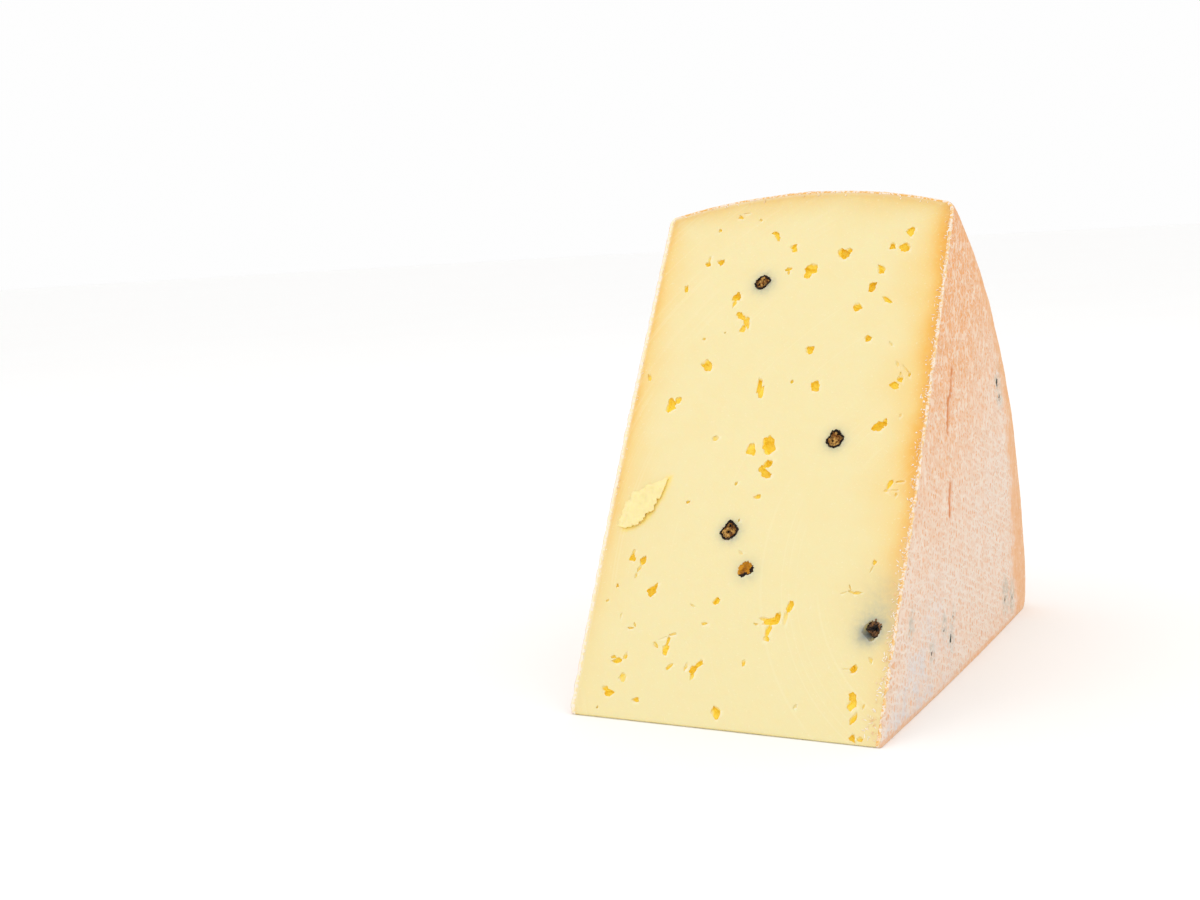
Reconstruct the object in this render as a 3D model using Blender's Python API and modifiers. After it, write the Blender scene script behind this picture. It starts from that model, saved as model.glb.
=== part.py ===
"""A wedge of washed-rind pepper cheese, about a sixth of a small wheel.

The wheel's axis lies along X. The wedge rests on one of its two cut faces, and the other cut
face leans back from the tip line, which runs along X at the front. Both flat sides and the
bulged rim at the back carry the rind. Units are metres, +Z is up, and the origin is the
middle of the bottom of the wedge's box.
"""

import math
import random
from collections import namedtuple

import bmesh
import bpy
from mathutils import Matrix, Vector, noise

MM = 0.001

# The wheel: two crowned flat sides, a bulged rim and rounded shoulders
WHEEL_HEIGHT = 80 * MM
WHEEL_RADIUS = 141 * MM
RIM_BULGE = 6 * MM
SIDE_CROWN = 0.7 * MM
SHOULDER_RIGHT = 4 * MM
SHOULDER_LEFT = 2 * MM
TIP_CORNER_RIGHT = 1.5 * MM
TIP_CORNER_LEFT = 2.5 * MM
TURN_STEPS = 120
TURN_START = math.radians(1.1)

# The knife's two cuts, and how far their edges are rubbed round
WEDGE_ANGLE = math.radians(59)
TIP_WEAR = 0.5 * MM
REST_EDGE_WEAR = 4.5 * MM
TOP_EDGE_WEAR = 1.2 * MM
CUT_GRID = 14 * MM
KNIFE_OVERHANG = 4 * MM
BACK_MARGIN = math.radians(3)

# Box of the finished wedge along Y, which puts the origin at its middle
TIP_REACH = TIP_WEAR / math.tan(WEDGE_ANGLE / 2) - TIP_WEAR
RIM_REACH = math.sqrt((WHEEL_RADIUS + RIM_BULGE) ** 2 - REST_EDGE_WEAR ** 2)
TIP_Y = -(TIP_REACH + RIM_REACH) / 2

# Round-edged spot of the resting face that stays free of holes
REST_SPOT_UP = 75 * MM
REST_SPOT_RADIUS = 9 * MM

# Openings of the paste on the leaning cut face, in millimetres: across from the middle,
# up from the tip line, width, height, and turn in degrees
Eye = namedtuple("Eye", "across up wide tall turn")
EYES = (
    Eye(-7.3, 133.6, 1.4, 3.2, 38), Eye(-1.9, 129.4, 1.8, 2.7, 25), Eye(12.4, 127.3, 3.4, 3.2, -20),
    Eye(3.7, 122.3, 3.0, 4.4, -8), Eye(-2.3, 122.9, 1.4, 2.3, 15), Eye(25.0, 128.8, 1.7, 1.9, 20),
    Eye(28.5, 128.0, 2.6, 2.1, 0), Eye(23.0, 122.3, 1.5, 2.6, 35), Eye(21.3, 117.4, 2.3, 2.7, 0),
    Eye(25.8, 113.2, 1.3, 3.0, 60), Eye(18.0, 111.3, 2.1, 1.9, 0), Eye(-15.4, 114.7, 2.1, 3.9, -15),
    Eye(-31.0, 118.3, 1.4, 2.2, 10), Eye(-26.0, 126.0, 1.4, 2.6, 5), Eye(-22.3, 126.2, 1.8, 1.7, 0),
    Eye(-13.2, 109.4, 1.7, 3.8, 55), Eye(-12.1, 106.3, 2.0, 3.8, -20), Eye(-20.4, 95.3, 3.0, 2.9, 0),
    Eye(-4.5, 89.0, 1.9, 5.6, 12), Eye(-28.4, 84.0, 2.3, 2.8, 10), Eye(10.3, 89.2, 2.3, 2.4, 0),
    Eye(7.5, 99.3, 2.0, 2.0, 0), Eye(22.3, 102.6, 2.0, 1.7, 20), Eye(31.2, 89.8, 2.6, 1.8, -20),
    Eye(28.7, 79.0, 3.9, 3.0, 25), Eye(0.3, 73.2, 3.4, 3.6, 0), Eye(-3.7, 71.7, 2.2, 2.7, 0),
    Eye(0.8, 67.6, 3.0, 3.4, -20), Eye(1.7, 65.4, 2.4, 2.2, 0), Eye(33.3, 63.8, 1.6, 2.4, -25),
    Eye(-31.0, 42.0, 1.7, 2.9, 0), Eye(-28.0, 40.8, 1.8, 2.8, 0), Eye(-23.7, 33.5, 2.3, 3.4, -10),
    Eye(-5.9, 31.7, 1.7, 1.7, 0), Eye(13.0, 31.6, 1.5, 2.5, -15), Eye(8.4, 27.8, 4.6, 2.4, 15),
    Eye(9.0, 25.4, 1.9, 4.4, -10), Eye(-17.4, 19.4, 1.8, 3.6, -10), Eye(-28.9, 15.2, 3.8, 1.5, 20),
    Eye(-8.6, 14.2, 1.9, 5.2, -30), Eye(-15.2, 14.3, 2.2, 1.4, 45), Eye(-30.7, 6.6, 3.2, 2.2, -20),
    Eye(-1.1, 4.4, 2.1, 2.6, 15), Eye(-22.8, 5.5, 2.0, 1.4, 15), Eye(31.0, 17.7, 1.9, 2.0, 0),
    Eye(32.0, 10.6, 2.2, 3.4, 0), Eye(32.7, 5.9, 1.4, 3.0, -15), Eye(28.3, 36.0, 4.6, 1.3, -8),
)
EYE_DEPTH_SHARE = 0.42
EYE_ROUGHNESS = 0.16
FINE_EYE_WIDTH = 2.6 * MM

# Peppercorns that the knife met on the leaning cut face: across, up and diameter in millimetres
CUT_PEPPERCORNS = ((-9.0, 119.5, 4.7), (17.8, 75.0, 4.8), (-6.0, 50.0, 5.0))
HUSK_PEPPERCORN = (0.3, 40.3, 4.4)
PIT_PEPPERCORN = (34.8, 27.8, 4.2)
PEPPER_PROUD = 0.35 * MM
PEPPER_CUP = 0.2 * MM
HUSK_CUP = 1.5 * MM
HUSK_PIT_SHARE = 0.8
PEPPER_SUNK = 1.6 * MM
PIT_DEPTH = 1.7 * MM
PIT_MARGIN = 0.45 * MM
PITTED_HEIGHT = 2.6 * MM

# Torn shaving that still sticks to the cut face, its outline in millimetres across and up
FLAKE_OUTLINE = (
    (-37.5, 50.0), (-36.2, 53.5), (-35.6, 57.0), (-34.0, 59.2), (-30.0, 61.2), (-25.6, 63.3),
    (-26.8, 59.4), (-29.4, 54.6), (-32.2, 51.2), (-35.0, 50.0),
)
FLAKE_THICKNESS = 0.9 * MM
FLAKE_LIFT = math.radians(4)

# Crease across the right rind, as points along Y from the tip line and Z, in millimetres
RIND_CREASE = ((63.0, 79.0), (60.8, 72.6), (58.5, 71.0), (57.4, 63.8))
CREASE_WIDTH = 0.9 * MM

# Dimples of the rind where a peppercorn lies just under it
RIGHT_DIMPLES = (
    (109.5, 70.5), (111.3, 66.0), (112.4, 8.0), (120.5, 6.5), (56.0, 11.0), (50.0, 15.0), (39.6, 16.0),
)
DIMPLE_WIDTH = 2.8 * MM
DIMPLE_DEPTH = 0.45 * MM
LEFT_DIMPLE_COUNT = 9
RIM_DIMPLE_COUNT = 7
REST_EYE_COUNT = 26
SEED = 5

PASTE_COLOUR = (0.95, 0.79, 0.41, 1.0)
PASTE_ROUGHNESS = 0.55


def clear_scene():
    """Remove every object and leftover mesh of the open scene."""
    for scene_object in list(bpy.data.objects):
        bpy.data.objects.remove(scene_object, do_unlink=True)
    for mesh in list(bpy.data.meshes):
        bpy.data.meshes.remove(mesh)


def new_collection(name):
    """Make an empty collection in the scene."""
    collection = bpy.data.collections.new(name)
    bpy.context.scene.collection.children.link(collection)
    return collection


def new_object(name, build, collection):
    """Turn a finished bmesh into an object of the collection."""
    mesh = bpy.data.meshes.new(name)
    build.to_mesh(mesh)
    build.free()
    made = bpy.data.objects.new(name, mesh)
    collection.objects.link(made)
    return made


def rim_circle():
    """Radius of the rim's bulge seen along the wheel's edge, and its centre's distance from the axis."""
    half = WHEEL_HEIGHT / 2
    radius = (half ** 2 + RIM_BULGE ** 2) / (2 * RIM_BULGE)
    return radius, WHEEL_RADIUS + RIM_BULGE - radius


def rim_radius(along):
    """Distance from the wheel's axis to the rim at a place along that axis."""
    radius, centre = rim_circle()
    return centre + math.sqrt(radius ** 2 - along ** 2)


def side_bulge(radius):
    """How far the crowned side stands out at a distance from the axis."""
    return SIDE_CROWN * (1 - (2 * radius / WHEEL_RADIUS - 1) ** 2)


def side_profile(shoulder, tip_corner):
    """Half of the wheel's section as (radius, along) points, from the axis to the middle of the rim."""
    half = WHEEL_HEIGHT / 2
    points = []
    corner_steps = 3
    for step in range(corner_steps + 1):
        turn = math.pi / 2 * step / corner_steps
        points.append((tip_corner * (1 - math.cos(turn)), half - tip_corner * (1 - math.sin(turn))))

    bulge_radius, bulge_centre = rim_circle()
    centre_along = half - shoulder
    centre_radius = bulge_centre + math.sqrt((bulge_radius - shoulder) ** 2 - centre_along ** 2)
    side_steps = 9
    for step in range(1, side_steps):
        radius = tip_corner + (centre_radius - tip_corner) * step / side_steps
        points.append((radius, half + side_bulge(radius)))

    end_turn = math.atan2(centre_radius - bulge_centre, centre_along)
    shoulder_steps = 4
    for step in range(shoulder_steps + 1):
        turn = end_turn * step / shoulder_steps
        points.append((centre_radius + shoulder * math.sin(turn), centre_along + shoulder * math.cos(turn)))

    last_along = points[-1][1]
    rim_steps = 8
    for step in range(1, rim_steps + 1):
        along = last_along * (1 - step / rim_steps)
        points.append((rim_radius(along), along))
    return points


def make_wheel(collection):
    """Turn the whole wheel about X from its section with a Screw modifier."""
    right = side_profile(SHOULDER_RIGHT, TIP_CORNER_RIGHT)
    left = side_profile(SHOULDER_LEFT, TIP_CORNER_LEFT)
    section = right + [(radius, -along) for radius, along in reversed(left[:-1])]
    build = bmesh.new()
    corners = [build.verts.new((radius, 0, along)) for radius, along in section]
    for start, end in zip(corners, corners[1:]):
        build.edges.new((start, end))
    wheel = new_object("cheese_wedge", build, collection)

    screw = wheel.modifiers.new("Turn", 'SCREW')
    screw.axis = 'Z'
    screw.angle = math.tau
    screw.steps = TURN_STEPS
    screw.render_steps = TURN_STEPS
    screw.use_merge_vertices = True
    screw.merge_threshold = 0.01 * MM
    screw.use_smooth_shade = False
    apply_modifiers(wheel)

    axis_to_x = Matrix.Rotation(math.pi / 2, 4, 'Y')
    spokes_off_the_cuts = Matrix.Rotation(TURN_START, 4, 'X')
    wheel.data.transform(Matrix.Translation((0, TIP_Y, 0)) @ spokes_off_the_cuts @ axis_to_x)
    return wheel


def spaced(start, end, pitch):
    """Evenly spaced values from start to end, about a pitch apart."""
    count = max(1, round(abs(end - start) / pitch))
    return [start + (end - start) * step / count for step in range(count + 1)]


def block_outline(reach):
    """Outline of the knife block at one station, as (from the tip along Y, up) points.

    It runs from the tip along the resting cut to the rim, round behind it, and back down the
    leaning cut. Reach is the rim's distance from the axis at this station.
    """
    points = []
    rest_end = math.sqrt(reach ** 2 - REST_EDGE_WEAR ** 2) - REST_EDGE_WEAR
    tip_run = TIP_WEAR / math.tan(WEDGE_ANGLE / 2)
    grid_steps = round(WHEEL_RADIUS / CUT_GRID)
    for step in range(grid_steps + 1):
        points.append((tip_run + (rest_end - tip_run) * step / grid_steps, 0.0))

    wear_steps = 4
    for step in range(1, wear_steps + 1):
        turn = math.pi / 2 * step / wear_steps
        points.append((
            rest_end + REST_EDGE_WEAR * math.sin(turn),
            REST_EDGE_WEAR * (1 - math.cos(turn)),
        ))

    behind = reach + KNIFE_OVERHANG
    back_steps = 6
    for step in range(back_steps + 1):
        turn = BACK_MARGIN + (WEDGE_ANGLE - 2 * BACK_MARGIN) * step / back_steps
        points.append((behind * math.cos(turn), behind * math.sin(turn)))

    along_cut = Vector((math.cos(WEDGE_ANGLE), math.sin(WEDGE_ANGLE)))
    inward = Vector((math.sin(WEDGE_ANGLE), -math.cos(WEDGE_ANGLE)))
    top_end = math.sqrt(reach ** 2 - TOP_EDGE_WEAR ** 2) - TOP_EDGE_WEAR
    for step in range(wear_steps + 1):
        turn = math.pi / 2 * (1 - step / wear_steps)
        spot = along_cut * (top_end + TOP_EDGE_WEAR * math.sin(turn))
        points.append(tuple(spot + inward * TOP_EDGE_WEAR * (1 - math.cos(turn))))
    for step in range(1, grid_steps + 1):
        points.append(tuple(along_cut * (top_end + (tip_run - top_end) * step / grid_steps)))

    tip_steps = 3
    centre = Vector((tip_run, TIP_WEAR))
    for step in range(1, tip_steps):
        turn = math.pi / 2 + WEDGE_ANGLE + (math.pi - WEDGE_ANGLE) * step / tip_steps
        points.append(tuple(centre + TIP_WEAR * Vector((math.cos(turn), math.sin(turn)))))
    return points


def make_knife_block(collection):
    """Loft the block that the two cuts leave, its outer end following the rim's bulge."""
    half = WHEEL_HEIGHT / 2 + SIDE_CROWN + KNIFE_OVERHANG
    build = bmesh.new()
    rings = []
    for along in spaced(-half, half, CUT_GRID):
        outline = block_outline(rim_radius(along))
        rings.append([build.verts.new((along, TIP_Y + out, up)) for out, up in outline])
    for ring, following in zip(rings, rings[1:]):
        for index in range(len(ring)):
            after = (index + 1) % len(ring)
            build.faces.new((ring[index], ring[after], following[after], following[index]))
    build.faces.new(rings[0])
    build.faces.new(reversed(rings[-1]))
    bmesh.ops.recalc_face_normals(build, faces=build.faces)
    return new_object("knife_block", build, collection)


def lump(name, size, seed, roughness, collection, subdivisions=2):
    """An uneven pebble: a ball scaled to size (x, y, z), its skin moved in and out by noise."""
    build = bmesh.new()
    bmesh.ops.create_icosphere(build, subdivisions=subdivisions, radius=1.0)
    offset = Vector((seed * 3.1, seed * 1.7, seed * 0.9))
    for vert in build.verts:
        swell = 1 + roughness * noise.noise(vert.co * 1.6 + offset) * 1.8
        vert.co = Vector((vert.co.x * size[0], vert.co.y * size[1], vert.co.z * size[2])) * swell / 2
    return new_object(name, build, collection)


def cut_frame(across, up, sink=0.0):
    """Matrix of a spot on the leaning cut: X across, Y up the face and Z out of it."""
    up_axis = Vector((0, math.cos(WEDGE_ANGLE), math.sin(WEDGE_ANGLE)))
    out_axis = Vector((0, -math.sin(WEDGE_ANGLE), math.cos(WEDGE_ANGLE)))
    spot = Vector((across, TIP_Y, 0)) + up_axis * up - out_axis * sink
    turned = Matrix((Vector((1, 0, 0)), up_axis, out_axis)).transposed().to_4x4()
    return Matrix.Translation(spot) @ turned


def rest_frame(across, up, sink=0.0):
    """Matrix of a spot on the resting cut: X across, Y to the tip and Z down out of it."""
    turned = Matrix.Rotation(math.pi, 4, 'X')
    return Matrix.Translation((across, TIP_Y + up, sink)) @ turned


def side_frame(hand, out, height, sink=0.0):
    """Matrix of a spot on the right (hand +1) or left (-1) rind, Z pointing out of the wheel."""
    radius = math.hypot(out, height)
    along = hand * (WHEEL_HEIGHT / 2 + side_bulge(radius) - sink)
    turned = Matrix.Rotation(hand * math.pi / 2, 4, 'Y')
    return Matrix.Translation((along, TIP_Y + out, height)) @ turned


def rim_frame(along, turn, sink=0.0):
    """Matrix of a spot on the rim, turned up by an angle from the resting cut, Z pointing out."""
    reach = rim_radius(along) - sink
    spot = Vector((along, TIP_Y + reach * math.cos(turn), reach * math.sin(turn)))
    return Matrix.Translation(spot) @ Matrix.Rotation(turn - math.pi / 2, 4, 'X')


def place(thing, frame, turn=0.0):
    """Put a lump into a surface frame, first turned about the surface's normal."""
    thing.data.transform(frame @ Matrix.Rotation(turn, 4, 'Z'))


def add_eye(name, frame, wide, tall, turn, seed, collection):
    """One irregular opening of the paste, cut a little deeper than half its width."""
    narrow = min(wide, tall)
    deep = 2 * EYE_DEPTH_SHARE * narrow + narrow / 2
    detail = 2 if narrow > FINE_EYE_WIDTH else 1
    eye = lump(name, (wide, tall, deep), seed, EYE_ROUGHNESS, collection, detail)
    place(eye, frame, turn)


def make_eyes(collection):
    """The openings of both cuts: placed by hand on the leaning one, by a seeded rule below."""
    for index, eye in enumerate(EYES):
        frame = cut_frame(eye.across * MM, eye.up * MM, 0.1 * min(eye.wide, eye.tall) * MM)
        turn = math.radians(eye.turn)
        add_eye(f"eye_{index}", frame, eye.wide * MM, eye.tall * MM, turn, index, collection)

    draw = random.Random(SEED)
    placed = [(0.0, REST_SPOT_UP, REST_SPOT_RADIUS)]
    while len(placed) <= REST_EYE_COUNT:
        wide = draw.uniform(1.6, 3.4) * MM
        across = draw.uniform(-34, 34) * MM
        up = draw.uniform(6, 134) * MM
        if all(math.hypot(across - x, up - y) > clear + wide for x, y, clear in placed):
            frame = rest_frame(across, up, 0.1 * wide)
            tall = wide * draw.uniform(0.8, 1.9)
            turn = draw.uniform(0, math.pi)
            add_eye(f"rest_eye_{len(placed)}", frame, wide, tall, turn, len(placed), collection)
            placed.append((across, up, 2 * MM))


def make_rind_dimples(collection):
    """Shallow dimples of the rind: seen ones on the right side, seeded ones on the rim and left side."""
    draw = random.Random(SEED + 1)
    frames = [side_frame(1, out * MM, height * MM) for out, height in RIGHT_DIMPLES]
    for _ in range(LEFT_DIMPLE_COUNT):
        turn = draw.uniform(0.12, 0.9) * WEDGE_ANGLE
        radius = draw.uniform(25, 132) * MM
        frames.append(side_frame(-1, radius * math.cos(turn), radius * math.sin(turn)))
    for _ in range(RIM_DIMPLE_COUNT):
        frames.append(rim_frame(draw.uniform(-32, 32) * MM, draw.uniform(0.1, 0.9) * WEDGE_ANGLE))
    for index, frame in enumerate(frames):
        wide = DIMPLE_WIDTH * draw.uniform(0.7, 1.2)
        dimple = lump(f"dimple_{index}", (wide, wide, 2 * DIMPLE_DEPTH), index, 0.12, collection, 1)
        place(dimple, frame, draw.uniform(0, math.pi))


def make_crease(collection):
    """The crease of the right rind, a thin tube that runs along the surface."""
    curve = bpy.data.curves.new("crease", 'CURVE')
    curve.dimensions = '3D'
    curve.bevel_depth = CREASE_WIDTH / 2
    curve.bevel_resolution = 1
    curve.use_fill_caps = True
    spline = curve.splines.new('POLY')
    spline.points.add(len(RIND_CREASE) - 1)
    for point, (out, height) in zip(spline.points, RIND_CREASE):
        point.co = (*side_frame(1, out * MM, height * MM).translation, 1)
    add_curve_as_mesh("crease", curve, collection)


def add_curve_as_mesh(name, curve, collection):
    """Make a closed mesh object of a curve's tube or plate, with its caps welded."""
    guide = bpy.data.objects.new(name + "_guide", curve)
    collection.objects.link(guide)
    bpy.context.view_layer.update()
    mesh = bpy.data.meshes.new_from_object(guide.evaluated_get(bpy.context.evaluated_depsgraph_get()))
    bpy.data.objects.remove(guide, do_unlink=True)
    build = bmesh.new()
    build.from_mesh(mesh)
    bpy.data.meshes.remove(mesh)
    bmesh.ops.remove_doubles(build, verts=build.verts, dist=0.01 * MM)
    bmesh.ops.recalc_face_normals(build, faces=build.faces)
    return new_object(name, build, collection)


def add_peppercorn(name, frame, diameter, cup, seed, collection):
    """A cut peppercorn: a wrinkled disc that stands just proud, hollowed in its middle."""
    grain = lump(name, (diameter, diameter, 2 * PEPPER_SUNK), seed, 0.1, collection)
    hollow_share = 0.62
    for vert in grain.data.vertices:
        spread = math.hypot(vert.co.x, vert.co.y) / (diameter / 2)
        if vert.co.z > 0:
            vert.co.z = min(vert.co.z, PEPPER_PROUD)
            if spread < hollow_share:
                vert.co.z = PEPPER_PROUD - cup * (1 - (spread / hollow_share) ** 2)
    place(grain, frame, seed)


def make_peppercorns(collection):
    """Every peppercorn that the knife met on the leaning cut: sliced, emptied and left in its pit."""
    for index, (across, up, diameter) in enumerate(CUT_PEPPERCORNS):
        frame = cut_frame(across * MM, up * MM)
        add_peppercorn(f"peppercorn_{index}", frame, diameter * MM, PEPPER_CUP, index, collection)
    across, up, diameter = HUSK_PEPPERCORN
    frame = cut_frame(across * MM, up * MM)
    add_peppercorn("peppercorn_husk", frame, diameter * MM, HUSK_CUP, 7, collection)
    across, up, diameter = PIT_PEPPERCORN
    frame = cut_frame(across * MM, up * MM, PIT_DEPTH)
    across_size = diameter * MM
    pitted = lump("peppercorn_in_pit", (across_size, across_size, PITTED_HEIGHT), 9, 0.15, collection)
    place(pitted, frame)


def make_flake(collection):
    """The torn shaving, a thin plate stuck on the leaning cut with its lower right edge lifted."""
    curve = bpy.data.curves.new("flake", 'CURVE')
    curve.dimensions = '2D'
    curve.fill_mode = 'BOTH'
    curve.extrude = FLAKE_THICKNESS / 2
    spline = curve.splines.new('POLY')
    spline.points.add(len(FLAKE_OUTLINE) - 1)
    spline.use_cyclic_u = True
    root = Vector(FLAKE_OUTLINE[2]) * MM
    for point, (across, up) in zip(spline.points, FLAKE_OUTLINE):
        point.co = (across * MM - root.x, up * MM - root.y, 0, 1)
    flake = add_curve_as_mesh("flake", curve, collection)
    lift_axis = Vector((-0.55, -0.83, 0))
    lifted = Matrix.Rotation(FLAKE_LIFT, 4, lift_axis)
    flake.data.transform(cut_frame(root.x, root.y, 0.1 * MM) @ lifted)


def make_pits(collection):
    """The hollow that the peppercorn near the right rind sits in, and the empty husk's inside."""
    across, up, diameter = PIT_PEPPERCORN
    wide = diameter * MM + 2 * PIT_MARGIN
    pit = lump("pepper_pit", (wide, wide, 2 * PIT_DEPTH), 21, 0.1, collection)
    place(pit, cut_frame(across * MM, up * MM))
    across, up, diameter = HUSK_PEPPERCORN
    wide = diameter * HUSK_PIT_SHARE * MM
    inside = lump("husk_inside", (wide, wide, 1.8 * HUSK_CUP), 22, 0.1, collection)
    place(inside, cut_frame(across * MM, up * MM))


def apply_modifiers(body):
    """Replace an object's mesh by what its modifiers make of it."""
    bpy.context.view_layer.update()
    evaluated = body.evaluated_get(bpy.context.evaluated_depsgraph_get())
    plain = bpy.data.meshes.new_from_object(evaluated)
    body.modifiers.clear()
    spare = body.data
    body.data = plain
    bpy.data.meshes.remove(spare)


def combine(body, operation, collection):
    """Run one Boolean with everything in a collection, apply it and remove the collection."""
    boolean = body.modifiers.new(operation.title(), 'BOOLEAN')
    boolean.operation = operation
    boolean.solver = 'EXACT'
    boolean.operand_type = 'COLLECTION'
    boolean.collection = collection
    apply_modifiers(body)
    for used in list(collection.objects):
        bpy.data.objects.remove(used, do_unlink=True)
    bpy.data.collections.remove(collection)


def cheese_material():
    """Pale yellow paste, as the cut faces show it."""
    material = bpy.data.materials.new("cheese_paste")
    material.use_nodes = True
    shader = material.node_tree.nodes["Principled BSDF"]
    shader.inputs["Base Color"].default_value = PASTE_COLOUR
    shader.inputs["Roughness"].default_value = PASTE_ROUGHNESS
    shader.inputs["Metallic"].default_value = 0.0
    return material


def main():
    """Turn the wheel, cut the wedge out of it, open its eyes and fuse what sticks to it."""
    clear_scene()
    wedge = make_wheel(new_collection("cheese_wedge"))

    knife = new_collection("knife")
    make_knife_block(knife)
    combine(wedge, 'INTERSECT', knife)

    hollows = new_collection("hollows")
    make_eyes(hollows)
    make_rind_dimples(hollows)
    make_crease(hollows)
    make_pits(hollows)
    combine(wedge, 'DIFFERENCE', hollows)

    fused = new_collection("fused_bits")
    make_peppercorns(fused)
    make_flake(fused)
    combine(wedge, 'UNION', fused)

    wedge.data.materials.clear()
    wedge.data.materials.append(cheese_material())
    wedge.data.shade_smooth()
    wedge.data.set_sharp_from_angle(angle=math.radians(35))


main()
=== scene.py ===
"""Looks of a wedge of washed-rind pepper cheese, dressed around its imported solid.

The wedge rests on one cut face. Its paste is one closed body with the openings cut into it, and
three closed rind shells lie on the right side, the rim and the left side. Sliced peppercorns,
a torn shaving and the crumbs of the rind's edges are pieces of their own. Units are metres.
"""

import logging
import math
import random
from dataclasses import dataclass, field
from enum import Enum, IntEnum
from typing import Any, Sequence

import bmesh
import bpy
import numpy as np
from mathutils import Matrix, Vector, noise


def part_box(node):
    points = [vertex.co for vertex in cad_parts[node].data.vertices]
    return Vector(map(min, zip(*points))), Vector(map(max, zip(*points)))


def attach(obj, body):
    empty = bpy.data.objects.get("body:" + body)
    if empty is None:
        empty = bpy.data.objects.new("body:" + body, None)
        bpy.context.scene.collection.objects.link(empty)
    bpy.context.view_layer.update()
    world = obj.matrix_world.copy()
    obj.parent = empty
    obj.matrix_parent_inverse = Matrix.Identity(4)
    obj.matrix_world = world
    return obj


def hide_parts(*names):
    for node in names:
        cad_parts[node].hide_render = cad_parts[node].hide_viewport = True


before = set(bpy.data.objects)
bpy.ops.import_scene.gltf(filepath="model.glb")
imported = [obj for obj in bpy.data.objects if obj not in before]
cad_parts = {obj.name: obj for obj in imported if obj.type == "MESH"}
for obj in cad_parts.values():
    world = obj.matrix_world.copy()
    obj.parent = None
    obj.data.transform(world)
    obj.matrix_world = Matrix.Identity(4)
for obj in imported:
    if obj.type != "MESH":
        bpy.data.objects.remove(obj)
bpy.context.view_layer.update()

MM = 0.001
NODE = "cheese_wedge"
log = logging.getLogger("cheese_wedge")

Colour = tuple[float, float, float, float]
Array = np.ndarray
Socket = bpy.types.NodeSocket
Thing = bpy.types.Object
Material = bpy.types.Material
Mesh = bpy.types.Mesh


def linear(hex_colour: str) -> Colour:
    """Turn an sRGB hex colour such as "#FAEAB2" into the linear colour that a shader takes."""
    channels = [int(hex_colour[start:start + 2], 16) / 255 for start in (1, 3, 5)]
    red, green, blue = (c / 12.92 if c <= 0.04045 else ((c + 0.055) / 1.055) ** 2.4 for c in channels)
    return red, green, blue, 1.0


def add_node(tree: bpy.types.NodeTree, kind: str, settings: dict[str, Any] | None = None,
             links: dict[Any, Any] | None = None) -> bpy.types.Node:
    """Add a node with its settings, its values and its incoming links.

    Args:
        tree: the node tree that gets the node.
        kind: the node's Blender type name.
        settings: attributes of the node.
        links: for each input, by name or index, an output socket to link or a value.

    Returns:
        The new node.
    """
    node = tree.nodes.new(kind)
    for name, value in (settings or {}).items():
        setattr(node, name, value)
    for name, value in (links or {}).items():
        if isinstance(value, Socket):
            tree.links.new(value, node.inputs[name])
        else:
            node.inputs[name].default_value = value
    return node


def smooth(value: Array, low: float, high: float) -> Array:
    """Smooth step from 0 at low to 1 at high; low may be the larger one."""
    part = np.clip((value - low) / (high - low), 0.0, 1.0)
    return part * part * (3 - 2 * part)


def ripple(across: Array, up: Array, size: float, seed: float) -> Array:
    """Gentle wander between about -1 and 1, made of a few crossing waves.

    Args:
        across: first coordinate in metres.
        up: second coordinate in metres.
        size: length of the longest wave in metres.
        seed: phase that makes one field differ from the next.

    Returns:
        One value for each point.
    """
    total = np.zeros_like(across)
    for step, (turn, length, weight) in enumerate(((0.4, 1.0, 0.5), (1.7, 0.63, 0.3), (2.8, 0.41, 0.2))):
        along = across * math.cos(turn + seed) + up * math.sin(turn + seed)
        total += weight * np.sin(math.tau * along / (size * length) + seed * (3.1 + step))
    return total


def from_line(first: Array, second: Array, start: Sequence[float], stop: Sequence[float]) -> Array:
    """Distance of points from a straight stretch between two points."""
    run, rise = stop[0] - start[0], stop[1] - start[1]
    share = np.clip(((first - start[0]) * run + (second - start[1]) * rise) / (run ** 2 + rise ** 2), 0, 1)
    return np.hypot(first - start[0] - share * run, second - start[1] - share * rise)


def build_mesh(name: str, points: Array, faces: Sequence[Sequence[int]]) -> Mesh:
    """Make a mesh of points and faces, all faces turned outwards.

    Args:
        name: the mesh's name.
        points: an N by 3 array of positions.
        faces: vertex indices of each face of one closed surface.

    Returns:
        The mesh.
    """
    mesh = bpy.data.meshes.new(name)
    mesh.from_pydata(points.tolist(), [], faces)
    build = bmesh.new()
    build.from_mesh(mesh)
    bmesh.ops.recalc_face_normals(build, faces=build.faces)
    build.to_mesh(mesh)
    build.free()
    mesh.update()
    return mesh


def add_object(name: str, mesh: Mesh) -> Thing:
    """Link a mesh to the scene as an object at the origin."""
    made = bpy.data.objects.new(name, mesh)
    bpy.context.scene.collection.objects.link(made)
    return made


def closed_rings(name: str, rings: Sequence[Sequence[Vector]], start: Vector, end: Vector) -> Mesh:
    """Skin a stack of rings of equal size into one closed body.

    Args:
        name: the mesh's name.
        rings: the rings, one after the other.
        start: the point that closes the first ring.
        end: the point that closes the last.

    Returns:
        The mesh.
    """
    count = len(rings[0])
    points = [start] + [point for ring in rings for point in ring] + [end]
    faces: list[Sequence[int]] = []
    for step in range(count):
        after = (step + 1) % count
        faces.append((0, 1 + step, 1 + after))
        for here in range(1, 1 + (len(rings) - 1) * count, count):
            there = here + count
            faces.append((here + step, there + step, there + after, here + after))
        base = len(points) - 1 - count
        faces.append((base + step, len(points) - 1, base + after))
    return build_mesh(name, np.array([tuple(point) for point in points]), faces)


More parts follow.
